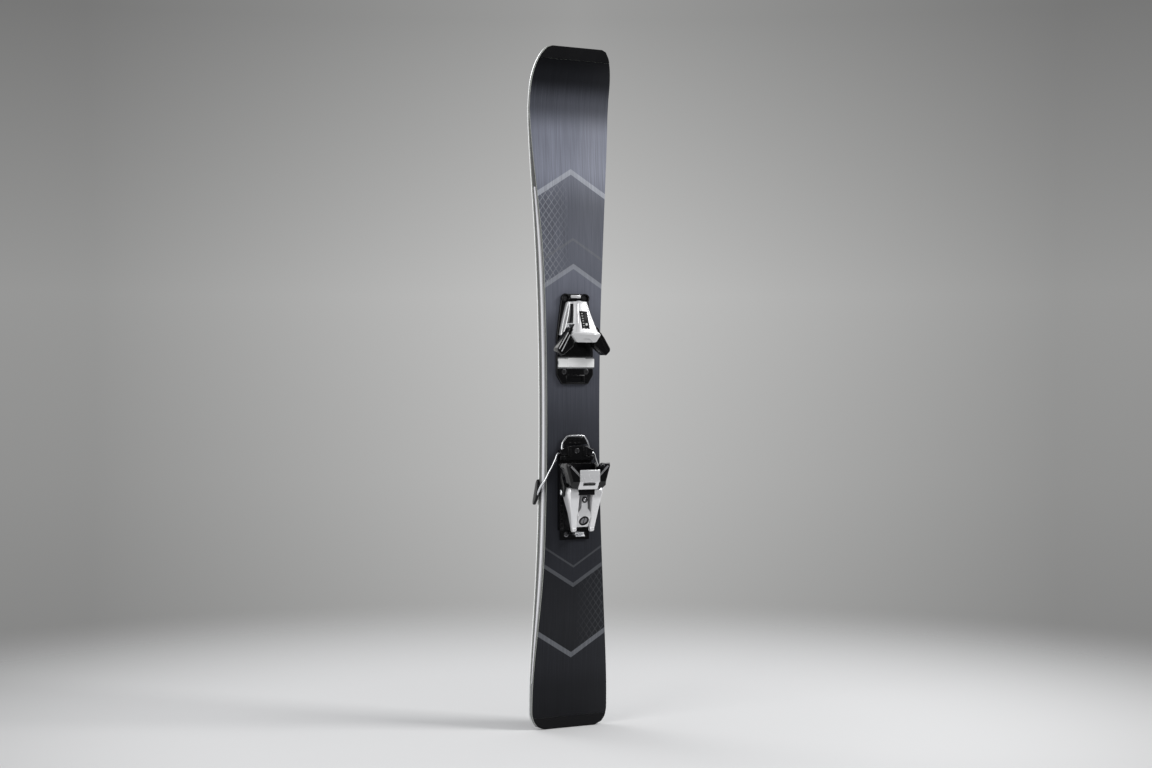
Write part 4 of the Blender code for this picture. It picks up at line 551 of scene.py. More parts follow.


# The top sheet: a printed plastic film bonded over the whole ski, dark slate with a fine lengthwise grain,
# under a painted reflection of the lamps that is brightest over the front half and darkens towards both ends.
# It stops short of the end guards, and its long sides are softly rounded.
TAIL_GUARD_LIP = 0.0180
TIP_GUARD_LENGTH = 0.0190
# Greys along the ski from tail to tip: a painted reflection of the lamps, not the film's own colour.
TOP_REFLECTION_TONES = ((0.018, 0.0086), (0.060, 0.0108), (0.110, 0.0173), (0.190, 0.0248), (0.300, 0.0238),
             (0.410, 0.0248), (0.480, 0.0422), (0.560, 0.0682), (0.640, 0.1042), (0.700, 0.1463),
             (0.760, 0.1637), (0.840, 0.1463), (0.905, 0.2356), (0.960, 0.2108), (1.010, 0.0744),
             (1.050, 0.0124), (1.084, 0.0050))
FRONT_BANDS = ((0.748, 0.62, 0.0042, 0.30), (0.792, 0.62, 0.0022, 0.16), (0.902, 0.62, 0.0046, 0.42))
REAR_BANDS = ((0.118, -0.62, 0.0044, 0.16), (0.232, -0.62, 0.0034, 0.10), (0.262, -0.62, 0.0018, 0.07))
LATTICE_LINES = 70.0
LATTICE_SHARE = 0.13
LATTICE_SLOPE = 1.35


def chevron_group():
    """A V-shaped band across the ski: how far a point lies along the ski from the V's line."""
    group = bpy.data.node_groups.new("chevron", "ShaderNodeTree")
    for name in ("Place", "Slope", "Width"):
        group.interface.new_socket(name, in_out="INPUT", socket_type="NodeSocketFloat")
    for name in ("Band", "Beyond"):
        group.interface.new_socket(name, in_out="OUTPUT", socket_type="NodeSocketFloat")
    entry = group.nodes.new("NodeGroupInput")
    leave = group.nodes.new("NodeGroupOutput")
    axes = object_axes(group)
    away = calculate(group, "ABSOLUTE", axes["X"])
    line = calculate(group, "MULTIPLY_ADD", away, entry.outputs["Slope"], axes["Z"])
    offset = calculate(group, "SUBTRACT", line, entry.outputs["Place"])
    distance = calculate(group, "ABSOLUTE", offset)
    band = calculate(group, "LESS_THAN", distance, entry.outputs["Width"])
    group.links.new(band, leave.inputs["Band"])
    group.links.new(calculate(group, "GREATER_THAN", offset, 0.0), leave.inputs["Beyond"])
    return group


CHEVRON = chevron_group()
film = finish("printed_film_and_painted_sheen", (0.1, 0.1, 0.1), (0.1, 0.1, 0.1), (0.26, 0.40), (1300.0, 1300.0, 26.0),
              0.00003, smudge=18.0, shine=0.13)
film_tree = film.node_tree
film_axes = object_axes(film_tree)
film_share = calculate(film_tree, "DIVIDE", film_axes["Z"], SKI_LENGTH)
film_reflection_tones = [(z / SKI_LENGTH, grey) for z, grey in TOP_REFLECTION_TONES]
# The film's base grey follows the painted reflection along the ski.
colour = grey_ramp(film_tree, film_share, film_reflection_tones, (0.95, 1.0, 1.22), "EASE")
film_place = film_tree.nodes.new("ShaderNodeTexCoord")
fibre_place = film_tree.nodes.new("ShaderNodeMapping")
fibre_place.inputs["Scale"].default_value = (1500.0, 60.0, 12.0)
fibre = film_tree.nodes.new("ShaderNodeTexNoise")
fibre.inputs["Scale"].default_value = 1.0
fibre.inputs["Detail"].default_value = 5.0
film_tree.links.new(film_place.outputs["Object"], fibre_place.inputs["Vector"])
film_tree.links.new(fibre_place.outputs["Vector"], fibre.inputs["Vector"])
fibre_strength = remap(film_tree, fibre.outputs["Fac"], (0.30, 0.70), (0.78, 1.24))


def paint(colour, mask, grey, strength):
    """Lay a printed grey over the film where a mask says so."""
    share = calculate(film_tree, "MULTIPLY", mask, strength)
    return mix_colours(film_tree, share, colour, (grey * 0.96, grey, grey * 1.10, 1.0))


def chevron(place, slope, width):
    """V-shaped band on the film."""
    made = film_tree.nodes.new("ShaderNodeGroup")
    made.node_tree = CHEVRON
    made.inputs["Place"].default_value = place
    made.inputs["Slope"].default_value = slope
    made.inputs["Width"].default_value = width
    return made


def between(lower, upper):
    """Mask of the field between two chevrons."""
    return calculate(film_tree, "SUBTRACT", lower.outputs["Beyond"], upper.outputs["Beyond"])


def lattice(fade_from, fade_to):
    """Mask of fine crossing lines that fade in towards one side of the ski."""
    masks = []
    for hand in (1.0, -1.0):
        run = calculate(film_tree, "MULTIPLY_ADD", film_axes["X"], hand * LATTICE_SLOPE, film_axes["Z"])
        turns = calculate(film_tree, "MULTIPLY", run, LATTICE_LINES)
        share = calculate(film_tree, "FRACT", turns)
        masks.append(calculate(film_tree, "LESS_THAN", share, LATTICE_SHARE))
    either = calculate(film_tree, "MAXIMUM", *masks)
    fade = remap(film_tree, film_axes["X"], (fade_from, fade_to), (0.0, 1.0))
    return calculate(film_tree, "MULTIPLY", either, fade)


front_marks = [chevron(place, slope, width) for place, slope, width, grey in FRONT_BANDS]
rear_marks = [chevron(place, slope, width) for place, slope, width, grey in REAR_BANDS]
front_field = between(front_marks[0], front_marks[-1])
rear_field = between(rear_marks[0], rear_marks[1])
colour = paint(colour, front_field, 0.050, 0.30)
colour = paint(colour, rear_field, 0.012, 0.55)
for field, fade, grey, strength in ((front_field, (-0.005, -0.045), 0.34, 0.60),
                                    (rear_field, (0.005, 0.045), 0.07, 0.50)):
    colour = paint(colour, calculate(film_tree, "MULTIPLY", field, lattice(*fade)), grey, strength)
for mark, (place, slope, width, grey) in zip(front_marks + rear_marks, FRONT_BANDS + REAR_BANDS):
    colour = paint(colour, mark.outputs["Band"], grey, 0.75)
grained = mix_colours(film_tree, 1.0, colour, fibre_strength, "MULTIPLY")
film_tree.links.new(grained, film_tree.nodes["Principled BSDF"].inputs["Base Color"])

guard_end = SKI_LENGTH - TIP_GUARD_LENGTH
sheet = ski_layer(TAIL_GUARD_LIP + GAP, guard_end - GAP, SKIN_INSET,
                  lambda z: thickness(z) - TOPSHEET_THICKNESS, thickness, edge_round=0.0005)
piece("printed_top", sheet, film, "ski", "topsheet_film", "topsheet")

guard_finish = finish("end_guard", (0.004, 0.004, 0.005), (0.009, 0.009, 0.010), (0.34, 0.52),
                      (1400.0, 1400.0, 1400.0), 0.00005, smudge=40.0, shine=0.12)
dress(("tip_guard", "tail_guard"), guard_finish)


# Binding screws: darkened steel, with countersunk heads and a cross recess. Four hold each plate
# to the ski and one holds the brake's base.
SCREW_NODES = ["toe_screw_front_left", "toe_screw_front_right", "toe_screw_rear_left", "toe_screw_rear_right",
               "heel_screw_front_left", "heel_screw_front_right", "heel_screw_rear_left",
               "heel_screw_rear_right", "brake_base_screw"]
RECESS_REACH = 0.0027
RECESS_WIDTH = 0.0011
RECESS_DEPTH = 0.0016
TOOL_REACH = 0.001
DOWN = Vector((0.0, 1.0, 0.0))

screw_finish = finish("darkened_steel", (0.16, 0.16, 0.17), (0.26, 0.26, 0.27), (0.14, 0.28),
                      (900.0, 900.0, 900.0), 0.00001, smudge=90.0, metallic=1.0)


def prism(points, reach):
    """Close points into a face and extrude it by a vector."""
    bm = bmesh.new()
    ring = [bm.verts.new(point) for point in points]
    bmesh.ops.contextual_create(bm, geom=ring)
    grown = bmesh.ops.extrude_face_region(bm, geom=bm.faces[:])["geom"]
    moved = [item for item in grown if isinstance(item, bmesh.types.BMVert)]
    bmesh.ops.translate(bm, verts=moved, vec=reach)
    bmesh.ops.recalc_face_normals(bm, faces=bm.faces)
    return bm


def turned(profile, start, axis, steps=32):
    """Spin a profile of radius and depth pairs round an axis."""
    bm = bmesh.new()
    side = axis.orthogonal().normalized()
    points = [bm.verts.new(start + side * radius + axis * depth) for radius, depth in profile]
    lines = [bm.edges.new(pair) for pair in zip(points, points[1:])]
    bmesh.ops.spin(bm, geom=points + lines, cent=start, axis=axis, angle=2 * math.pi, steps=steps,
                   use_merge=True)
    bmesh.ops.remove_doubles(bm, verts=bm.verts, dist=0.000005)
    bmesh.ops.recalc_face_normals(bm, faces=bm.faces)
    return bm


def carve(bm, tool, operation="DIFFERENCE"):
    """Combine two meshes, by default by cutting the first with the second."""
    workpieces = []
    for shape in (bm, tool):
        mesh = bpy.data.meshes.new("workpiece")
        shape.to_mesh(mesh)
        shape.free()
        workpiece = bpy.data.objects.new("workpiece", mesh)
        scene.collection.objects.link(workpiece)
        workpieces.append(workpiece)
    cut = workpieces[0].modifiers.new("cut", "BOOLEAN")
    cut.operation = operation
    cut.solver = "EXACT"
    cut.object = workpieces[1]
    result = bmesh.new()
    evaluated = workpieces[0].evaluated_get(bpy.context.evaluated_depsgraph_get())
    result.from_mesh(evaluated.to_mesh())
    for workpiece in workpieces:
        mesh = workpiece.data
        bpy.data.objects.remove(workpiece)
        bpy.data.meshes.remove(mesh)
    bmesh.ops.dissolve_degenerate(result, edges=result.edges, dist=0.000002)
    return result


def cross_outline(centre, reach, width):
    """Twelve corners of a plus sign across and along the ski."""
    half = width / 2
    quarter = [(reach, -half), (reach, half), (half, half)]
    points = []
    for turn in range(4):
        facing = Matrix.Rotation(turn * math.pi / 2, 3, "Y")
        points += [centre + facing @ Vector((x, 0.0, -z)) for x, z in quarter]
    return points


for name in SCREW_NODES:
    low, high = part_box(name)
    head = Vector(((low.x + high.x) / 2, low.y, (low.z + high.z) / 2))
    radius, length = (high.x - low.x) / 2, high.y - low.y
    screw = turned([(0.0, 0.0), (radius * 0.74, 0.0), (radius * 0.96, 0.0003), (radius, 0.0008),
                    (radius, radius * 0.35), (radius * 0.55, radius * 0.7), (radius * 0.55, length),
                    (0.0, length)], head, DOWN)
    recess = prism(cross_outline(head - DOWN * TOOL_REACH, RECESS_REACH, RECESS_WIDTH),
                   DOWN * (RECESS_DEPTH + TOOL_REACH))
    piece(name + "_cross", carve(screw, recess), screw_finish,
          "heel_unit" if name == "brake_base_screw" else "ski", "spring_steel", name)


# The toe piece's base: one black moulding with raised bosses round the front screws, a ramp
# behind the boot's stop and a frame at its rear end, screwed down on the deck.
DECK = MID_THICKNESS + GAP
TOE_STOP_Z = 0.624
PLATE_THICKNESS = 0.0055
PLATE_HALF_WIDTH = 0.0330
PLATE_NOSE = (0.0240, 0.0790)
PLATE_HEEL = (0.0236, -0.0670)
PLATE_SHOULDER_Z = 0.0080
NOSE_CORNER = 0.0040
HEEL_TAPER = 0.0150
FRONT_SCREW = (0.0175, 0.0720)
REAR_SCREW = (0.0200, -0.0465)
AFD_Z = -0.0325
RAMP_TOP = 0.0090
RAMP_HALF_WIDTH = 0.0280
BOSS_RADIUS = 0.0071
BOSS_HEIGHT = 0.0034
BOSS_INNER_RADIUS = 0.0050
FRAME_HALF_WIDTH = 0.0170
FRAME_ALONG = (-0.0650, -0.0515)
FRAME_HEIGHT = 0.0016
HOLLOW_HALF_WIDTH = 0.0125
HOLLOW_ALONG = (-0.0620, -0.0550)
WELL_RADIUS = 0.0049
SHANK_RADIUS = 0.0028
SIDE_RIB_X = (0.0292, 0.0316)
SIDE_RIB_START = -0.0030
SIDE_RIB_PITCH = 0.0055
SIDE_RIB_LENGTH = 0.0030
SIDE_RIB_HEIGHT = 0.0018

black_finish = finish("moulded_black", (0.0020, 0.0020, 0.0024), (0.0055, 0.0055, 0.0062), (0.13, 0.24),
                      (1100.0, 1100.0, 1100.0), 0.00001, smudge=55.0, shine=0.30)


def toe(x, along, up):
    """Point of the toe piece, counted from the boot's toe stop and the deck."""
    return at(x, TOE_STOP_Z + along, DECK + up)


def mirrored(half):
    """Whole outline from its right half."""
    return half + [(-x, along) for x, along in reversed(half)]


def round_edges(bm, width, segments=3, sharper=25.0):
    """Round the edges where faces meet at more than an angle."""
    edges = [edge for edge in bm.edges
             if edge.is_manifold and edge.calc_face_angle(0.0) > math.radians(sharper)]
    bmesh.ops.bevel(bm, geom=edges, offset=width, offset_type="OFFSET", affect="EDGES", segments=segments,
                    profile=0.5, material=-1, clamp_overlap=True)
    return bm


def weld(bm, added):
    """Join two meshes into one shell."""
    return carve(bm, added, "UNION")


def slab(place, outline, low, high, rounding, segments=3):
    """Rounded plate from an outline across and along the ski, between two heights."""
    return round_edges(prism([place(x, along, low) for x, along in outline], DOWN * (low - high)),
                       rounding, segments)


def bar(place, across, along, up, rounding, segments=3):
    """Rounded block between two places across, along and above the ski."""
    corners = [(across[0], along[0]), (across[1], along[0]), (across[1], along[1]), (across[0], along[1])]
    return slab(place, corners, up[0], up[1], rounding, segments)


def on_side(pair, sign):
    """Two places across the ski on the side that a sign gives, from left to right."""
    return sorted(sign * x for x in pair)


def ring_boss(centre, outer, inner, height):
    """Round raised rim."""
    return turned([(inner, 0.0), (inner, -height + 0.0004), (inner + 0.0004, -height),
                   (outer - 0.0007, -height), (outer, -height + 0.0007), (outer + 0.0006, 0.0006),
                   (inner, 0.0006), (inner, 0.0)], centre, DOWN)


plate_half = [(PLATE_NOSE[0] - NOSE_CORNER, PLATE_NOSE[1]), (PLATE_NOSE[0], PLATE_NOSE[1] - NOSE_CORNER),
              (PLATE_HALF_WIDTH, PLATE_SHOULDER_Z), (PLATE_HALF_WIDTH, PLATE_HEEL[1] + HEEL_TAPER),
              PLATE_HEEL]
toe_plate = slab(toe, mirrored(plate_half), 0.0, PLATE_THICKNESS, 0.0014)
ramp = bar(toe, (-RAMP_HALF_WIDTH, RAMP_HALF_WIDTH), (AFD_Z + 0.0101, 0.0117), (0.001, RAMP_TOP), 0.0012)
toe_plate = weld(toe_plate, ramp)
frame_outer = bar(toe, (-FRAME_HALF_WIDTH, FRAME_HALF_WIDTH), FRAME_ALONG,
                  (0.001, PLATE_THICKNESS + FRAME_HEIGHT), 0.0012)
frame_hollow = bar(toe, (-HOLLOW_HALF_WIDTH, HOLLOW_HALF_WIDTH), HOLLOW_ALONG,
                   (PLATE_THICKNESS - 0.0005, 0.012), 0.0010)
toe_plate = weld(toe_plate, carve(frame_outer, frame_hollow))
for sign in (-1, 1):
    for x, along in (FRONT_SCREW, REAR_SCREW):
        well = turned([(0.0, -0.006), (WELL_RADIUS, -0.006), (WELL_RADIUS, 0.0030), (SHANK_RADIUS, 0.0052),
                       (SHANK_RADIUS, 0.008), (0.0, 0.008)], toe(sign * x, along, PLATE_THICKNESS), DOWN)
        toe_plate = carve(toe_plate, well)
    boss_foot = toe(sign * FRONT_SCREW[0], FRONT_SCREW[1], PLATE_THICKNESS)
    toe_plate = weld(toe_plate, ring_boss(boss_foot, BOSS_RADIUS, BOSS_INNER_RADIUS, BOSS_HEIGHT))
    for step in range(3):
        along = SIDE_RIB_START - SIDE_RIB_PITCH * step
        rib = bar(toe, on_side(SIDE_RIB_X, sign), (along, along + SIDE_RIB_LENGTH),
                  (PLATE_THICKNESS - 0.001, PLATE_THICKNESS + SIDE_RIB_HEIGHT), 0.0006, 2)
        toe_plate = weld(toe_plate, rib)
piece("toe_plate", toe_plate, black_finish, "ski", "black_plastic", "toe_base_plate")


# The toe housing: a silver lacquered casting that narrows and falls towards the front, with
# flanges on its sides, a lip over the boot's toe and a window over the release scale. A white
# pointer stands in the window's slot and rides on the nut below it.
HOUSING_REAR = 0.0120
HOUSING_FRONT = 0.0660
POCKET_FRONT = 0.0292
POCKET_LOW = 0.0212
POCKET_HIGH = 0.0388
HOUSING_LOW = PLATE_THICKNESS + GAP
FLANGE_TOP = 0.0140
FLANGE = (0.0300, 0.0205)
FLANGE_SWEEP = 0.0036
HUMP = (0.0262, 0.0138)
CROWN = (0.0190, 0.0080)
CROWN_TOP = (0.0475, 0.0275)
LIP_HALF_WIDTH = 0.0165
WINDOW_HALF_WIDTH = 0.0068
WINDOW = (0.0220, 0.0500)
WINDOW_DEPTHS = (0.0003, 0.0015)
MARKS_PER_METRE = 250.0
MARK_SHARE = 0.24
MARK_X = -0.0026
MARK_HALF_WIDTH = 0.0013
SLOT_DEPTH = 0.0012
POINTER_X = 0.0022
POINTER_RADIUS = 0.0021
POINTER_STEM_RADIUS = 0.0007
POINTER_TRAVEL = 0.0038
POINTER_PROUD = 0.0008
SCREW_BORE_RADIUS = 0.0068
SCREW_AXIS_HEIGHT = 0.0180
HOUSING_STEPS = 12
FLANK_START = 0.0016
FLANK_LENGTH = 0.0318
FLANK_STEPS = 8
RAIL_START = 0.0305
RAIL_LENGTH = 0.0330
RAIL_STEPS = 12
REARWARD = Vector((0.0, 0.0, -1.0))

silver_finish = finish("silver_lacquer", (0.74, 0.74, 0.75), (0.84, 0.84, 0.85), (0.16, 0.30),
                       (700.0, 700.0, 700.0), 0.00001, smudge=70.0, metallic=0.40, coat=0.4)


def along_housing(pair, along):
    """A housing size between its rear and its front value."""
    share = (along - HOUSING_REAR) / (HOUSING_FRONT - HOUSING_REAR)
    return pair[0] + (pair[1] - pair[0]) * share


def crown_height(along):
    """Height of the housing's top at a place along it."""
    return along_housing(CROWN_TOP, along)


def housing_section(along):
    """Section across the housing: flange, shoulder, hump and a gently crowned top."""
    flange, hump, crown = (along_housing(pair, along) for pair in (FLANGE, HUMP, CROWN))
    share = (along - HOUSING_REAR) / (HOUSING_FRONT - HOUSING_REAR)
    flange -= FLANGE_SWEEP * share ** 2
    hump -= 0.0016 * math.sin(math.pi * share)
    top = crown_height(along)
    half = [(flange, HOUSING_LOW), (flange, FLANGE_TOP - 0.0012), (flange - 0.0010, FLANGE_TOP),
            (hump + 0.0008, FLANGE_TOP + 0.0010), (hump, FLANGE_TOP + 0.0024), (hump - 0.0020, top - 0.0040),
            (crown, top - 0.0002), (crown * 0.55, top + 0.0002)]
    return [toe(x, along, up) for x, up in half + [(-x, up) for x, up in reversed(half)]]


def sloped_prism(along, depths, half_widths):
    """Plate under the housing's sloping top, between two places and two depths."""
    corners = [toe(-half_widths[0], along[0], crown_height(along[0]) - depths[1]),
               toe(half_widths[0], along[0], crown_height(along[0]) - depths[1]),
               toe(half_widths[1], along[1], crown_height(along[1]) - depths[1]),
               toe(-half_widths[1], along[1], crown_height(along[1]) - depths[1])]
    return prism(corners, DOWN * (depths[0] - depths[1]))


def peg(start, axis, radius, low, high, steps=32):
    """Round peg between two depths, also used as the tool that drills a hole."""
    return turned([(0.0, low), (radius, low), (radius, high), (0.0, high)], start, axis, steps)


housing = sweep([housing_section(HOUSING_REAR + (HOUSING_FRONT - HOUSING_REAR) * step / HOUSING_STEPS)
                 for step in range(HOUSING_STEPS + 1)])
round_edges(housing, 0.0008, 3, 30.0)
housing = carve(housing, bar(toe, (-0.05, 0.05), (-0.05, POCKET_FRONT), (POCKET_LOW, POCKET_HIGH), 0.0008, 2))
lip_top = POCKET_HIGH + 0.0080
lip_half = [(0.0222, HOUSING_REAR + 0.004), (0.0256, HOUSING_REAR), (LIP_HALF_WIDTH + 0.0012, 0.0010),
            (LIP_HALF_WIDTH - 0.0008, 0.0)]
housing = weld(housing, slab(toe, mirrored(lip_half), POCKET_HIGH, lip_top, 0.0018, 4))
nose = slab(toe, mirrored([(LIP_HALF_WIDTH - 0.0040, HOUSING_REAR - GAP), (LIP_HALF_WIDTH - GAP, GAP)]),
            lip_top - 0.0152, lip_top - 0.0010, 0.0012)
housing = weld(housing, nose)
housing = carve(housing, sloped_prism((WINDOW[0] - GAP, WINDOW[1] + GAP), (-0.004, WINDOW_DEPTHS[1] + 0.0001),
                                      (WINDOW_HALF_WIDTH + GAP, WINDOW_HALF_WIDTH + GAP)))
housing = carve(housing, peg(toe(0.0, HOUSING_FRONT, SCREW_AXIS_HEIGHT), REARWARD, SCREW_BORE_RADIUS,
                             -0.004, 0.0200))
scoop = turned([(0.0, -0.004), (0.0150, -0.004), (0.0132, 0.0014), (0.0, 0.0014)], toe(0.0, -0.0072, lip_top),
               DOWN, 64)
housing = carve(housing, scoop)
piece("toe_casting", housing, silver_finish, "ski", "silver_metal", "toe_housing")

for side, sign in SIDES:
    flank = []
    inward = Vector((-sign * 0.0012, 0.0, 0.0))
    proud = Vector((sign * 0.00035, -0.0001, 0.0))
    for step in range(FLANK_STEPS + 1):
        along = POCKET_FRONT + FLANK_START + FLANK_LENGTH * step / FLANK_STEPS
        hump_foot, hump_top = housing_section(along)[4:6]
        low = Vector((sign * abs(hump_foot.x), hump_foot.y, hump_foot.z))
        high = Vector((sign * abs(hump_top.x), hump_top.y, hump_top.z))
        a, b = low.lerp(high, 0.02), low.lerp(high, 0.90)
        flank.append([a + proud, b + proud, b + inward, a + inward])
    panel = sweep(flank)
    round_edges(panel, 0.0003, 2, 40.0)
    piece("toe_flank_" + side, panel, black_finish, "ski", "black_plastic")
    rail = []
    for step in range(RAIL_STEPS + 1):
        along = RAIL_START + RAIL_LENGTH * step / RAIL_STEPS
        x = along_housing((CROWN[0] - 0.0030, CROWN[1] - 0.0010), along)
        up = crown_height(along)
        rail.append([toe(sign * (x + aside), along, up + above)
                     for aside, above in ((-0.0012, -0.0008), (-0.0009, 0.0012), (0.0006, 0.0012),
                                          (0.0012, -0.0012))])
    ridge = sweep(rail)
    round_edges(ridge, 0.0005, 3, 40.0)
    piece("toe_ridge_" + side, ridge, silver_finish, "ski", "silver_metal")

window_finish = finish("smoked_window", (0.003, 0.003, 0.004), (0.005, 0.005, 0.006), (0.30, 0.42),
                       (60.0, 60.0, 60.0), 0.00001, smudge=80.0, shine=0.12)
marks_tree = window_finish.node_tree
marks_axes = object_axes(marks_tree)
marks_along = calculate(marks_tree, "SUBTRACT", marks_axes["Z"], TOE_STOP_Z + WINDOW[0])
marks_count = calculate(marks_tree, "MULTIPLY", marks_along, MARKS_PER_METRE)
marks_line = calculate(marks_tree, "LESS_THAN", calculate(marks_tree, "FRACT", marks_count), MARK_SHARE)
marks_side = calculate(marks_tree, "COMPARE", marks_axes["X"], MARK_X, MARK_HALF_WIDTH)
marks_mask = calculate(marks_tree, "MULTIPLY", marks_line, marks_side)
marks_colour = mix_colours(marks_tree, marks_mask, marks_tree.nodes["surface"].outputs["Colour"],
                           (0.72, 0.72, 0.70, 1.0))
marks_tree.links.new(marks_colour, marks_tree.nodes["Principled BSDF"].inputs["Base Color"])
window = round_edges(sloped_prism(WINDOW, WINDOW_DEPTHS, (WINDOW_HALF_WIDTH, WINDOW_HALF_WIDTH)), 0.0004, 2)
pointer_along = WINDOW[0] + POINTER_RADIUS + POINTER_TRAVEL + 0.0008
slot_half = POINTER_RADIUS + GAP
slot_rear = pointer_along - POINTER_TRAVEL - slot_half
slot_front = pointer_along + POINTER_TRAVEL + slot_half
slot = prism([toe(POINTER_X + side * slot_half, end, crown_height(end) - SLOT_DEPTH)
              for end, side in ((slot_rear, -1), (slot_rear, 1), (slot_front, 1), (slot_front, -1))],
             DOWN * -0.0030)
window = carve(window, slot)
piece("scale_window", window, window_finish, "ski", "clear_plastic", "toe_window")
marker_finish = finish("marker_white", (0.74, 0.74, 0.72), (0.86, 0.86, 0.84), (0.30, 0.42),
                       (900.0, 900.0, 900.0), 0.00002, smudge=90.0)
pointer = turned([(0.0, 0.0), (0.0016, 0.0), (POINTER_RADIUS, 0.0004), (POINTER_RADIUS, 0.0009),
                  (POINTER_STEM_RADIUS, 0.0009), (POINTER_STEM_RADIUS, 0.0030), (0.0, 0.0030)],
                 toe(POINTER_X, pointer_along, crown_height(pointer_along) + POINTER_PROUD), DOWN)
piece("scale_knob", pointer, marker_finish, "toe_nut", "marker_plastic")


# Mechanism of the toe piece: a plated piston, spring and adjusting screw with a domed, slotted
# head in the housing's front, and a white plastic nut whose pointer shows the release value.
plated_finish = finish("plated_steel", (0.66, 0.67, 0.69), (0.82, 0.83, 0.85), (0.14, 0.30),
                       (900.0, 900.0, 900.0), 0.00001, smudge=90.0, metallic=1.0)
low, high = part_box("toe_din_screw")
toe_axis = Vector((0.0, (low.y + high.y) / 2, high.z))
toe_screw_length = high.z - low.z
dome = [(0.0, 0.0), (0.0026, 0.0002), (0.0046, 0.0009), (0.0058, 0.0022), (0.0061, 0.0034),
        (0.0061, 0.0110), (0.0025, 0.0110), (0.0025, toe_screw_length), (0.0, toe_screw_length)]
slot_corners = [toe_axis + Vector((x, y, -0.0019)) for x, y in ((-0.009, -0.0007), (0.009, -0.0007),
                                                               (0.009, 0.0007), (-0.009, 0.0007))]
domed = carve(turned(dome, toe_axis, REARWARD, 40), prism(slot_corners, Vector((0.0, 0.0, 0.004))))
piece("toe_adjusting_screw", domed, plated_finish, "toe_adjuster", "spring_steel", "toe_din_screw")
dress(("toe_piston", "toe_spring", "toe_wing_pin_left", "toe_wing_pin_right", "afd_rail"), plated_finish)
dress(("toe_spring_nut",), marker_finish)


# Toe wings: glossy black mouldings on upright pins. Each flares out to hold the side of the
# boot's toe and carries two thin black ribs on its outer face; the left wing's ribs take the silver finish as
# a painted highlight.
WING_LOW = 0.0215
WING_HIGH = 0.0385
WING_PIVOT = (0.0210, 0.0190)
WING_TIP_X = 0.0475
WING_PIN_BORE = 0.0023
WING_OUTLINE = ((0.0255, 0.0215), (0.0360, 0.0090), (WING_TIP_X, -0.0096), (WING_TIP_X - 0.0006, -0.0140),
                (0.0405, -0.0205), (0.0370, -0.0205), (0.0187, -0.0060), (0.0182, 0.0), (0.0165, 0.0160))
WING_RIBS = (((0.0292, 0.0155), (0.0452, -0.0105)), ((0.0258, 0.0120), (0.0408, -0.0145)))
RIB_WIDTH = 0.0013
RIB_HEIGHT = 0.0009
RIB_SUNK = 0.0006


def join_shapes(shapes):
    """Put several closed shapes into one mesh."""
    joined = bmesh.new()
    for shape in shapes:
        mesh = bpy.data.meshes.new("shape")
        shape.to_mesh(mesh)
        shape.free()
        joined.from_mesh(mesh)
        bpy.data.meshes.remove(mesh)
    return joined


def stripe(start, end, width, sign=1):
    """Four corners of a straight stripe between two places across and along, mirrored by the sign."""
    run = Vector((end[0] - start[0], end[1] - start[1])).normalized()
    across = Vector((-run.y, run.x)) * width / 2
    return [(sign * (spot[0] + hand * across.x), spot[1] + hand * across.y)
            for spot, hand in ((start, 1), (end, 1), (end, -1), (start, -1))]


for side, sign in SIDES:
    wing = slab(toe, [(sign * x, along) for x, along in WING_OUTLINE], WING_LOW, WING_HIGH, 0.0022, 5)
    pivot = toe(sign * WING_PIVOT[0], WING_PIVOT[1], WING_HIGH)
    hub = turned([(WING_PIN_BORE, 0.0), (0.0054, 0.0), (0.0060, 0.0006), (0.0060, 0.0164), (0.0054, 0.0170),
                  (WING_PIN_BORE, 0.0170), (WING_PIN_BORE, 0.0)], pivot, DOWN)
    wing = carve(weld(wing, hub), peg(pivot, DOWN, WING_PIN_BORE, -0.002, 0.020, 24))
    piece("toe_wing_shell_" + side, wing, black_finish, "toe_wing_%s_body" % side, "black_plastic",
          "toe_wing_" + side)
    ribs = [slab(toe, stripe(start, end, RIB_WIDTH, sign), WING_HIGH - RIB_SUNK, WING_HIGH + RIB_HEIGHT,
                 0.0004, 3)
            for start, end in WING_RIBS]
    # The left ribs are silver as a painted highlight; the right ones keep the black.
    piece("wing_ribs_" + side, join_shapes(ribs), silver_finish if side == "left" else black_finish,
          "toe_wing_%s_body" % side, "black_plastic")


# Sliding plate and clip: white low-friction plastic under the boot's toe, raised in its middle,
# on a steel rail, and a small lacquered clip at the front of the toe piece.
SLIDE_HALF_WIDTH = 0.0320
SLIDE_HALF_LENGTH = 0.0070
SLIDE_UP = (0.0071, 0.0112)
RAIL_GROOVE_HALF = 0.0028

slick_finish = finish("slick_white", (0.88, 0.88, 0.87), (0.95, 0.95, 0.94), (0.22, 0.40),
                       (60.0, 900.0, 900.0), 0.00002, smudge=45.0)
plate = bar(toe, (-SLIDE_HALF_WIDTH, SLIDE_HALF_WIDTH),
            (AFD_Z - SLIDE_HALF_LENGTH, AFD_Z + SLIDE_HALF_LENGTH), SLIDE_UP, 0.0009, 4)
crown = slab(toe, mirrored([(0.0150, AFD_Z + 0.0080), (0.0170, AFD_Z + 0.0060), (0.0170, AFD_Z - 0.0060)]),
             0.0100, 0.0119, 0.0006, 3)
plate = weld(plate, crown)
groove = bar(toe, (-0.035, 0.035), (AFD_Z - RAIL_GROOVE_HALF, AFD_Z + RAIL_GROOVE_HALF), (0.0060, 0.0092),
             0.0001, 1)
piece("slide_plate", carve(plate, groove), slick_finish, "toe_slide_plate", "white_plastic", "afd_plate")
clip_low, clip_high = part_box("toe_front_clip")
clip = bar(toe, (clip_low.x, clip_high.x), (clip_low.z - TOE_STOP_Z, clip_high.z - TOE_STOP_Z),
           (base_y - clip_high.y - DECK, base_y - clip_low.y - DECK), 0.0010, 4)
piece("front_clip", clip, silver_finish, "ski", "silver_metal", "toe_front_clip")


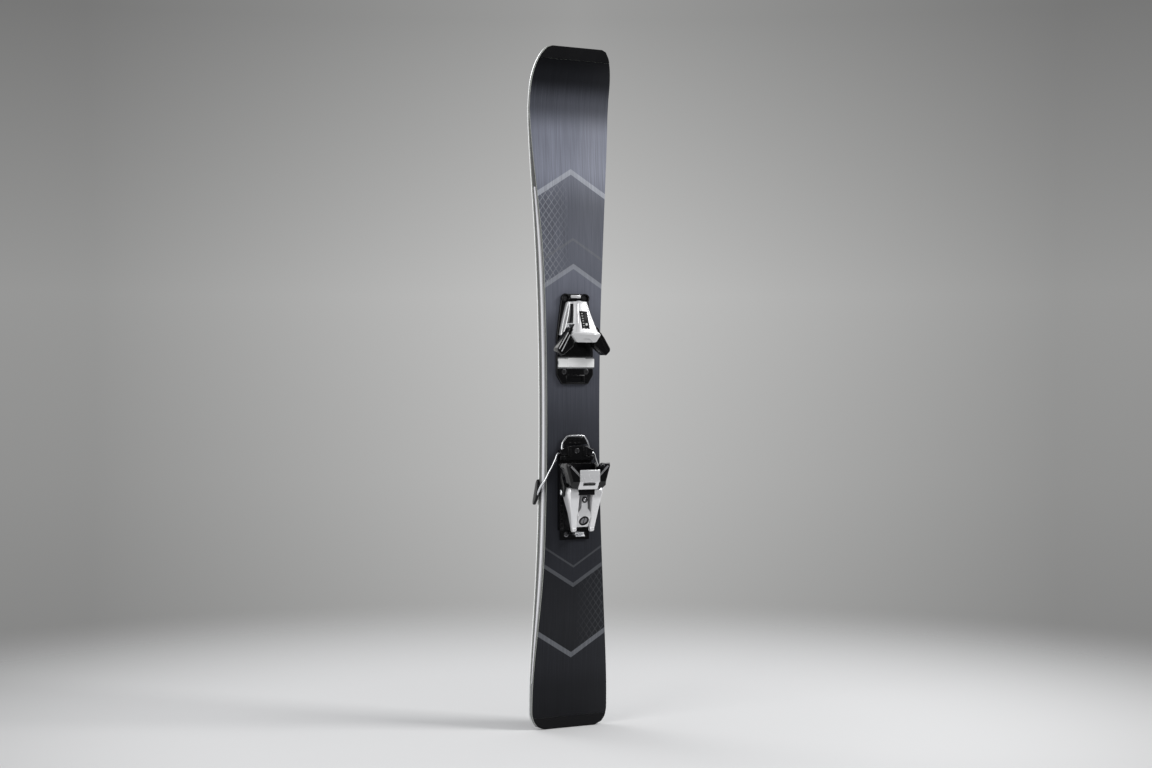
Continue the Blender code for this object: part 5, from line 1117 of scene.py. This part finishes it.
# Heel track and carriage: black mouldings, the track screwed to the deck and the carriage
# sliding on it. A thin rail and a row of nine teeth stand on each side of the carriage.
HEEL_PIN_Z = 0.384
TOOTH_COUNT = 9
TOOTH_START = -0.0590
TOOTH_PITCH = 0.0072
TOOTH_LENGTH = 0.0040
TOOTH_X = (0.0246, 0.0290)
TOOTH_UP = (0.0094, 0.0108)
RIM_X = (0.0236, 0.0252)
RIM_ALONG = (-0.0600, 0.0130)
RIM_UP = (0.0094, 0.0106)


def heel(x, along, up):
    """Point of the heel piece, counted from its pivot pin and the deck."""
    return at(x, HEEL_PIN_Z + along, DECK + up)


dress(("heel_track", "heel_carriage"), black_finish)
rim_parts = []
for sign in (-1, 1):
    for step in range(TOOTH_COUNT):
        tooth_z = TOOTH_START + TOOTH_PITCH * step
        rim_parts.append(bar(heel, on_side(TOOTH_X, sign), (tooth_z, tooth_z + TOOTH_LENGTH), TOOTH_UP,
                             0.0005, 2))
    rim_parts.append(bar(heel, on_side(RIM_X, sign), RIM_ALONG, RIM_UP, 0.0005, 2))
piece("carriage_rim", join_shapes(rim_parts), black_finish, "heel_unit", "black_plastic")


# Latch: a bent steel tab behind the heel piece. It holds the carriage in a notch of the track
# and is lifted by its bright rear end to slide the heel piece to another boot length.
LATCH_PIN = (-0.0662, 0.0070)
LATCH_HALF_WIDTH = 0.0080
LATCH_PIN_RADIUS = 0.0014
ACROSS = Vector((1.0, 0.0, 0.0))
LATCH_PROFILE = ((-0.0026, -0.0016), (-0.0010, -0.0026), (0.0016, -0.0026), (0.0026, 0.0020),
                 (0.0012, 0.0150), (-0.0050, 0.0185), (-0.0060, 0.0167), (-0.0014, 0.0134), (-0.0026, 0.0020))


def side_slab(place, profile, x_low, x_high, rounding, segments=3):
    """Rounded plate from a side profile along and above the ski, between two places across."""
    return round_edges(prism([place(x_low, along, up) for along, up in profile],
                             Vector((x_high - x_low, 0.0, 0.0))), rounding, segments)


tab = side_slab(heel, [(LATCH_PIN[0] + along, LATCH_PIN[1] + up) for along, up in LATCH_PROFILE],
                -LATCH_HALF_WIDTH, LATCH_HALF_WIDTH, 0.0006, 3)
pin_hole = peg(heel(-LATCH_HALF_WIDTH, *LATCH_PIN), ACROSS, LATCH_PIN_RADIUS + GAP, -0.002, 0.018, 20)
grip = bar(heel, (-0.0042, 0.0042), (LATCH_PIN[0] - 0.0090, LATCH_PIN[0] + 0.0060),
           (LATCH_PIN[1] + 0.0055, LATCH_PIN[1] + 0.0105), 0.0008, 3)
piece("latch_tab", carve(carve(tab, pin_hole), grip), plated_finish, "latch", "spring_steel", "length_latch")
dress(("latch_pin",), plated_finish)


# Heel body: a slim silver casting with rounded edges that slopes to the bored rear end, where
# a dark ring stands round the adjusting screw. A ball rivet closes the pivot's cover. Thin black sheets on
# the side recesses' floors are painted shade.
HEEL_PIN_HEIGHT = 0.0212
BODY_HALF_WIDTH = 0.0113
BODY_PROFILE = ((-0.0560, 0.0100), (-0.0560, 0.0301), (-0.0385, 0.0402), (-0.0320, 0.0385),
                (-0.0080, 0.0390), (0.0080, 0.0290), (0.0120, 0.0210), (0.0120, 0.0100))
TONGUE_SIDE = ((0.0066, 0.0130), (0.0200, 0.0130), (0.0200, -0.0310), (0.0100, -0.0310), (0.0056, -0.0255),
               (0.0050, -0.0080))
TONGUE_FOOT = 0.0270
RIVET_ALONG = -0.0115
RIVET_HOLE_RADIUS = 0.0019
PIN_RADIUS = 0.0030
RECESS_SHADE_OUTLINE = ((0.0070, 0.0060), (0.0110, 0.0060), (0.0110, -0.0300), (0.0098, -0.0300), (0.0058, -0.0245),
          (0.0053, -0.0080))
BORE_MOUTH = (-0.0455, 0.0362)
BORE_RADIUS = 0.0065
BORE_DEPTH = 0.0240
heel_axis = Vector((0.0, math.sin(math.radians(60)), math.cos(math.radians(60))))
bore_mouth = heel(0.0, *BORE_MOUTH)
body_shape = side_slab(heel, BODY_PROFILE, -BODY_HALF_WIDTH, BODY_HALF_WIDTH, 0.0016, 4)
body_shape = carve(body_shape, peg(bore_mouth, heel_axis, BORE_RADIUS, -0.010, BORE_DEPTH, 40))
body_shape = carve(body_shape, peg(heel(-0.0150, 0.0, HEEL_PIN_HEIGHT), ACROSS, PIN_RADIUS + GAP,
                                   -0.004, 0.030))
body_shape = carve(body_shape, peg(heel(0.0, RIVET_ALONG, 0.0390), DOWN, RIVET_HOLE_RADIUS,
                                   -0.004, 0.0070, 24))
for side, sign in SIDES:
    recess = [(sign * x, along) for x, along in TONGUE_SIDE]
    body_shape = carve(body_shape, slab(heel, recess, TONGUE_FOOT, 0.0480, 0.0006, 2))
    # Black sheet on the recess floor: painted shade where the silver floor lies in shadow.
    recess_shade = slab(heel, [(sign * x, along) for x, along in RECESS_SHADE_OUTLINE], TONGUE_FOOT - 0.0004,
                  TONGUE_FOOT + 0.0005, 0.0002, 2)
    piece("body_recess_shade_" + side, recess_shade, black_finish, "heel_unit", "black_plastic")
piece("heel_casting", body_shape, silver_finish, "heel_unit", "silver_metal", "heel_body")

ring = turned([(0.0060, -0.0002), (0.0060, -0.0010), (0.0064, -0.0013), (0.0080, -0.0013), (0.0086, -0.0008),
               (0.0086, 0.0004), (0.0060, 0.0004), (0.0060, -0.0002)], bore_mouth, heel_axis, 48)
piece("screw_ring", ring, black_finish, "heel_unit", "black_plastic")
rivet_low, rivet_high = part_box("heel_rivet")
rivet_top = Vector((0.0, rivet_low.y, (rivet_low.z + rivet_high.z) / 2))
rivet_length = rivet_high.y - rivet_low.y
rivet = turned([(0.0, 0.0), (0.0012, 0.00015), (0.0023, 0.0006), (0.0029, 0.0012), (0.0031, 0.0018),
                (0.0016, 0.0020), (0.0016, rivet_length), (0.0, rivet_length)], rivet_top, DOWN, 40)
piece("ball_rivet", rivet, plated_finish, "heel_unit", "spring_steel", "heel_rivet")
collar = turned([(0.0030, 0.0002), (0.0030, -0.0006), (0.0046, -0.0006), (0.0050, -0.0002), (0.0050, 0.0008),
                 (0.0030, 0.0008), (0.0030, 0.0002)], heel(0.0, RIVET_ALONG, 0.0392), DOWN, 40)
piece("rivet_collar", collar, black_finish, "heel_unit", "black_plastic")


# Heel mechanism: an adjusting screw with a slotted head turns a white plastic nut that loads
# the release spring, which presses the plunger against the cup.
dress(("heel_spring", "heel_plunger"), plated_finish)
dress(("heel_din_screw",), screw_finish)
dress(("heel_spring_nut",), marker_finish)


# Pivot pin: one plated steel pin with domed heads carries both the lever and the heel cup.
PIN_HEAD = ((0.0, 0.0), (PIN_RADIUS, 0.0001), (0.0042, 0.0004), (0.0046, 0.0008), (0.0046, 0.0012),
            (PIN_RADIUS, 0.0012))
pin_low, pin_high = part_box("heel_pivot_pin")
pin_length = pin_high.x - pin_low.x
pin_profile = [*PIN_HEAD, *((radius, pin_length - depth) for radius, depth in reversed(PIN_HEAD))]
domed_pin = turned(pin_profile, heel(pin_low.x, 0.0, HEEL_PIN_HEIGHT), ACROSS, 40)
piece("pivot_pin", domed_pin, plated_finish, "heel_unit", "spring_steel", "heel_pivot_pin")


# Opening lever: a silver casting with two broad, softly rounded legs that draw together
# towards the rear, where a bar joins them over the body and each ends in a round boss. The bar is black, a
# painted shade under the cover.
LEG_SECTIONS = ((0.0080, 0.0285, 0.0220, 0.0440), (0.0, 0.0290, 0.0132, 0.0465),
                (-0.0120, 0.0270, 0.0170, 0.0440), (-0.0340, 0.0235, 0.0240, 0.0395),
                (-0.0590, 0.0200, 0.0275, 0.0345))
LEG_INNER_X = 0.0117
LEG_ROUNDING = 0.0020
PIN_BORE_RADIUS = 0.0033
PIN_BORE_START = -0.0350
PIN_BORE_LENGTH = 0.0700

lever_shape = None
for sign in (-1, 1):
    rings = [[heel(sign * LEG_INNER_X, along, low), heel(sign * outer, along, low),
              heel(sign * outer, along, high), heel(sign * LEG_INNER_X, along, high)]
             for along, outer, low, high in LEG_SECTIONS]
    leg = round_edges(sweep(rings), LEG_ROUNDING, 4, 40.0)
    start = heel(sign * (LEG_INNER_X + 0.0006), LEG_SECTIONS[-1][0], 0.0310)
    boss = turned([(0.0, 0.0), (0.0035, 0.0), (0.0043, 0.0008), (0.0043, 0.0063), (0.0035, 0.0071),
                   (0.0, 0.0071)], start, ACROSS * sign, 32)
    leg = weld(leg, boss)
    lever_shape = leg if lever_shape is None else weld(lever_shape, leg)
# The bar of the silver lever, coloured black as painted shade below the cover.
painted_shade_bridge = bar(heel, (-LEG_INNER_X - 0.003, LEG_INNER_X + 0.003), (-0.0040, 0.0065), (0.0428, 0.0466),
             0.0012, 4)
piece("lever_bridge_painted_shade", painted_shade_bridge, black_finish, "heel_lever_unit", "black_plastic")
pin_bore_mouth = heel(PIN_BORE_START, 0.0, HEEL_PIN_HEIGHT)
lever_shape = carve(lever_shape, peg(pin_bore_mouth, ACROSS, PIN_BORE_RADIUS, 0.0, PIN_BORE_LENGTH))
piece("opening_lever", lever_shape, silver_finish, "heel_lever_unit", "silver_metal", "heel_lever")


# Heel cup: a black moulding with two faceted wings that clasp the boot's heel, ridges along
# their front edges coloured grey as a painted highlight, lugs on the pivot pin and the treadle that the boot
# presses down.
CUP_TOP = 0.0570
ROOF_LEVELS = (((0.0180, 0.0310), (0.0330, 0.0460), (0.0385, 0.0480), (0.0395, 0.0430), (0.0310, 0.0120),
                (0.0270, 0.0070)),
               ((0.0180, 0.0312), (0.0322, 0.0450), (0.0358, 0.0460), (0.0364, 0.0425), (0.0280, 0.0150),
                (0.0250, 0.0110)))
ROOF_UP = (0.0415, 0.0525)
CUP_WING_HALF = ((0.0240, 0.0370), (0.0330, 0.0458), (0.0383, 0.0478), (0.0393, 0.0430), (0.0323, 0.0150),
                 (0.0295, 0.0140), (0.0240, 0.0270))
CUP_WING_UP = (0.0290, 0.0475)
CUP_HOLLOW_RADIUS = 0.0273
CUP_HOLLOW_HALF_WIDTH = 0.02915
CUP_LUG = ((-0.0050, 0.0265), (0.0100, 0.0335), (0.0360, 0.0335), (0.0360, 0.0290), (0.0240, 0.0240),
           (0.0460, 0.0132), (0.0460, 0.0102), (0.0165, 0.0102), (0.0040, 0.0145))
LUG_X = (0.0293, 0.0334)
CUP_RIDGES = (((0.0178, 0.0288), (0.0328, 0.0436)), ((0.0176, 0.0262), (0.0340, 0.0424)))
RIDGE_WIDTH = 0.0009

levels = [(ROOF_LEVELS[0], ROOF_UP[0]), (ROOF_LEVELS[0], ROOF_UP[1]), (ROOF_LEVELS[1], CUP_TOP)]
cup_shape = sweep([[heel(x, along, up) for x, along in mirrored(list(half))] for half, up in levels])
round_edges(cup_shape, 0.0007, 3, 20.0)
for sign in (-1, 1):
    wing = slab(heel, [(sign * x, along) for x, along in CUP_WING_HALF], *CUP_WING_UP, 0.0016, 3)
    cup_shape = weld(cup_shape, wing)
slope = [(0.0065, 0.0481), (0.0183, CUP_TOP + 0.0002), (0.0183, 0.0770), (-0.0200, 0.0770), (-0.0200, 0.0481)]
cup_shape = carve(cup_shape, side_slab(heel, slope, -0.06, 0.06, 0.0001, 1))
cup_shape = carve(cup_shape, peg(heel(-CUP_HOLLOW_HALF_WIDTH, 0.0, HEEL_PIN_HEIGHT), ACROSS,
                                 CUP_HOLLOW_RADIUS, 0.0, 2 * CUP_HOLLOW_HALF_WIDTH, 64))
for sign in (-1, 1):
    lug = side_slab(heel, CUP_LUG, *on_side(LUG_X, sign), 0.0008, 3)
    cup_shape = weld(cup_shape, lug)
    hub = turned([(0.0, 0.0), (0.0075, 0.0), (0.0075, 0.0035), (0.0069, 0.0041), (0.0, 0.0041)],
                 heel(sign * LUG_X[0], 0.0, HEEL_PIN_HEIGHT), ACROSS * sign, 40)
    cup_shape = weld(cup_shape, hub)
treadle = bar(heel, (-LUG_X[1] + 0.0004, LUG_X[1] - 0.0004), (0.0165, 0.0460), (0.0102, 0.0132), 0.0007, 3)
cup_shape = weld(cup_shape, treadle)
cup_shape = carve(cup_shape, peg(pin_bore_mouth, ACROSS, PIN_BORE_RADIUS, 0.0, PIN_BORE_LENGTH))
piece("cup_shell", cup_shape, black_finish, "heel_cup_unit", "black_plastic", "heel_cup")

# The ridges are black moulding; their grey is a painted highlight along the wings' front edges.
ridge_highlight_finish = finish("ridge_painted_highlight", (0.24, 0.24, 0.25), (0.34, 0.34, 0.35), (0.16, 0.30),
                      (900.0, 900.0, 900.0), 0.00001, smudge=90.0, coat=0.4)
for side, sign in SIDES:
    ridges = []
    for start, end in CUP_RIDGES:
        outline = stripe(start, end, RIDGE_WIDTH, sign)
        ridges.append(slab(heel, outline, CUP_TOP - 0.0016, CUP_TOP + 0.0006, 0.0003, 3))
    piece("cup_ridges_" + side, join_shapes(ridges), ridge_highlight_finish, "heel_cup_unit", "black_plastic")


# Cup cover: a bright silver plate bent over the cup's top and its rear slope, with a sunk
# band across the slope that carries a plain dark plate.
COVER_HALF_WIDTH = 0.0175
COVER_PROFILE = ((0.0370, 0.0573), (0.0370, 0.0595), (0.0170, 0.0595), (0.0052, 0.0503), (0.0066, 0.0487),
                 (0.0178, 0.0573))
SLOPE_FROM = Vector((0.0170, 0.0595))
SLOPE_TO = Vector((0.0052, 0.0503))
slope_run = (SLOPE_TO - SLOPE_FROM).normalized()
slope_out = Vector((slope_run.y, -slope_run.x))


def on_slope(x_half, run_from, run_to, sunk, proud, rounding):
    """Plate on the cover's slope, from a sunk to a proud level."""
    corners = []
    for run, level in ((run_from, sunk), (run_to, sunk), (run_to, proud), (run_from, proud)):
        spot = SLOPE_FROM + slope_run * run + slope_out * level
        corners.append((spot.x, spot.y))
    return side_slab(heel, corners, -x_half, x_half, rounding, 2)


cover = side_slab(heel, COVER_PROFILE, -COVER_HALF_WIDTH, COVER_HALF_WIDTH, 0.0009, 4)
cover = carve(cover, on_slope(0.0112, 0.0022, 0.0076, -0.0006, 0.0040, 0.0003))
piece("cup_cover", cover, silver_finish, "heel_cup_unit", "silver_metal", "heel_cup_cover")
piece("cover_plate", on_slope(0.0106, 0.0027, 0.0071, -0.0009, -0.0002, 0.0002), black_finish,
      "heel_cup_unit", "black_plastic")


# Ski brake: a black base screwed to the carriage's tongue, with two pairs of raised cheeks and
# an ear on each side, in which the brake's wire turns.
BASE_HALF = ((0.0175, 0.0740), (0.0175, 0.0585), (0.0270, 0.0585), (0.0270, 0.0680), (0.0310, 0.0680),
             (0.0310, 0.0505))
BASE_UP = (0.0072, 0.0125)
BASE_SCREW_ALONG = 0.06575
AXLE = (0.0620, 0.0072)
EAR_X = (0.0270, 0.0310)
EAR_ALONG = (0.0588, 0.0672)
EAR_UP = (0.0042, 0.0082)
EAR_BORE_RADIUS = 0.0023
CHEEK = ((0.0112, 0.0170), (0.0560, 0.0735), (0.0115, 0.0141))
OUTER_CHEEK = ((0.0215, 0.0300), (0.0512, 0.0582), (0.0115, 0.0138))
base_shape = slab(heel, mirrored(list(BASE_HALF)), *BASE_UP, 0.0010, 3)
for sign in (-1, 1):
    ear = bar(heel, on_side(EAR_X, sign), EAR_ALONG, EAR_UP, 0.0003, 2)
    base_shape = weld(base_shape, ear)
    base_shape = carve(base_shape, peg(heel(sign * 0.0240, *AXLE), ACROSS * sign, EAR_BORE_RADIUS,
                                       0.0, 0.0100, 24))
    for across, along, up in (CHEEK, OUTER_CHEEK):
        base_shape = weld(base_shape, bar(heel, on_side(across, sign), along, up, 0.0010, 3))
head_well = turned([(0.0, -0.006), (0.0046, -0.006), (0.0046, 0.0030), (0.0028, 0.0050), (0.0028, 0.0100),
                    (0.0, 0.0100)], heel(0.0, BASE_SCREW_ALONG, BASE_UP[1]), DOWN, 40)
base_shape = carve(base_shape, head_well)
piece("brake_seat", base_shape, black_finish, "heel_unit", "black_plastic", "brake_base")


# Brake wire: one bright bent steel wire, from the foot on one side through the base's ears and
# round the front loop under the pedal to the foot on the other side.
WIRE_RADIUS = 0.0017
WIRE_CORNERS = ((0.0573, -0.0150, -0.0253), (0.0573, 0.0020, -0.0108), (0.0569, 0.0095, -0.0040),
                (0.0549, 0.0150, 0.0008), (0.0515, 0.0205, 0.0028), (0.0470, 0.0300, 0.0040),
                (0.0405, 0.0422, 0.0055), (0.0356, 0.0530, 0.0066), (0.0342, 0.0586, 0.0071),
                (0.0323, 0.0616, 0.0072), (0.0310, 0.0620, 0.0072), (0.0290, 0.0620, 0.0072),
                (0.0270, 0.0620, 0.0072), (0.0251, 0.0626, 0.0072), (0.0240, 0.0660, 0.0067),
                (0.0240, 0.0770, 0.0050), (0.0164, 0.0882, 0.0064), (0.0130, 0.0900, 0.0066))


def smoothed(points, rounds):
    """Cut the corners of a path again and again, keeping its ends."""
    for _ in range(rounds):
        cut = [points[0]]
        for first, second in zip(points, points[1:]):
            cut += [first.lerp(second, 0.25), first.lerp(second, 0.75)]
        points = [*cut, points[-1]]
    return points


def wire(path, radius, sides=16):
    """Round wire along a path, with its rings kept from twisting."""
    rings = []
    side = (path[1] - path[0]).orthogonal().normalized()
    for index, point in enumerate(path):
        run = (path[min(index + 1, len(path) - 1)] - path[max(index - 1, 0)]).normalized()
        side = (side - run * side.dot(run)).normalized()
        rings.append([point + Matrix.Rotation(2 * math.pi * step / sides, 3, run) @ side * radius
                      for step in range(sides)])
    return sweep(rings)


right_half = [heel(*corner) for corner in WIRE_CORNERS]
left_half = [Vector((-point.x, point.y, point.z)) for point in reversed(right_half)]
piece("wire_loop", wire(smoothed(right_half + left_half, 3), WIRE_RADIUS), plated_finish, "brake",
      "spring_steel", "brake_wire")


# Pedal and feet: a black pad across the wire's front loop, and a glossy black foot on each arm
# with a rounded end above and a thicker, blunt digging end below.
PAD_GROOVE_PITCH = 0.0085
PAD_GROOVE_HALF = 0.0026
pedal = slab(heel, mirrored([(0.0136, 0.0876), (0.0206, 0.0770), (0.0206, 0.0760)]), 0.0052, 0.0086,
             0.0008, 3)
for step in (-1, 0, 1):
    middle = step * PAD_GROOVE_PITCH
    groove = bar(heel, (middle - PAD_GROOVE_HALF, middle + PAD_GROOVE_HALF), (0.0785, 0.0850),
                 (0.0079, 0.0100), 0.0003, 2)
    pedal = carve(pedal, groove)
piece("pedal_pad", pedal, black_finish, "brake", "black_plastic", "brake_pedal")

FOOT_PROFILE = ((0.0160, 0.0040), (0.0205, 0.0090), (0.0165, 0.0125), (0.0020, 0.0112), (-0.0120, 0.0050),
                (-0.0220, -0.0035), (-0.0215, -0.0078), (-0.0160, -0.0080), (-0.0040, -0.0035))
for side, sign in SIDES:
    low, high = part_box("brake_foot_" + side)
    points = [at(low.x, HEEL_PIN_Z + along, height) for along, height in FOOT_PROFILE]
    foot = round_edges(prism(points, ACROSS * (high.x - low.x)), 0.0016, 4)
    end, bend = [heel(sign * corner[0], *corner[1:]) for corner in WIRE_CORNERS[:2]]
    reach = (bend - end).normalized()
    foot = carve(foot, peg(end - reach * GAP, reach, WIRE_RADIUS + GAP, 0.0, 0.0400, 20))
    piece("foot_shell_" + side, foot, black_finish, "brake", "black_plastic", "brake_foot_" + side)
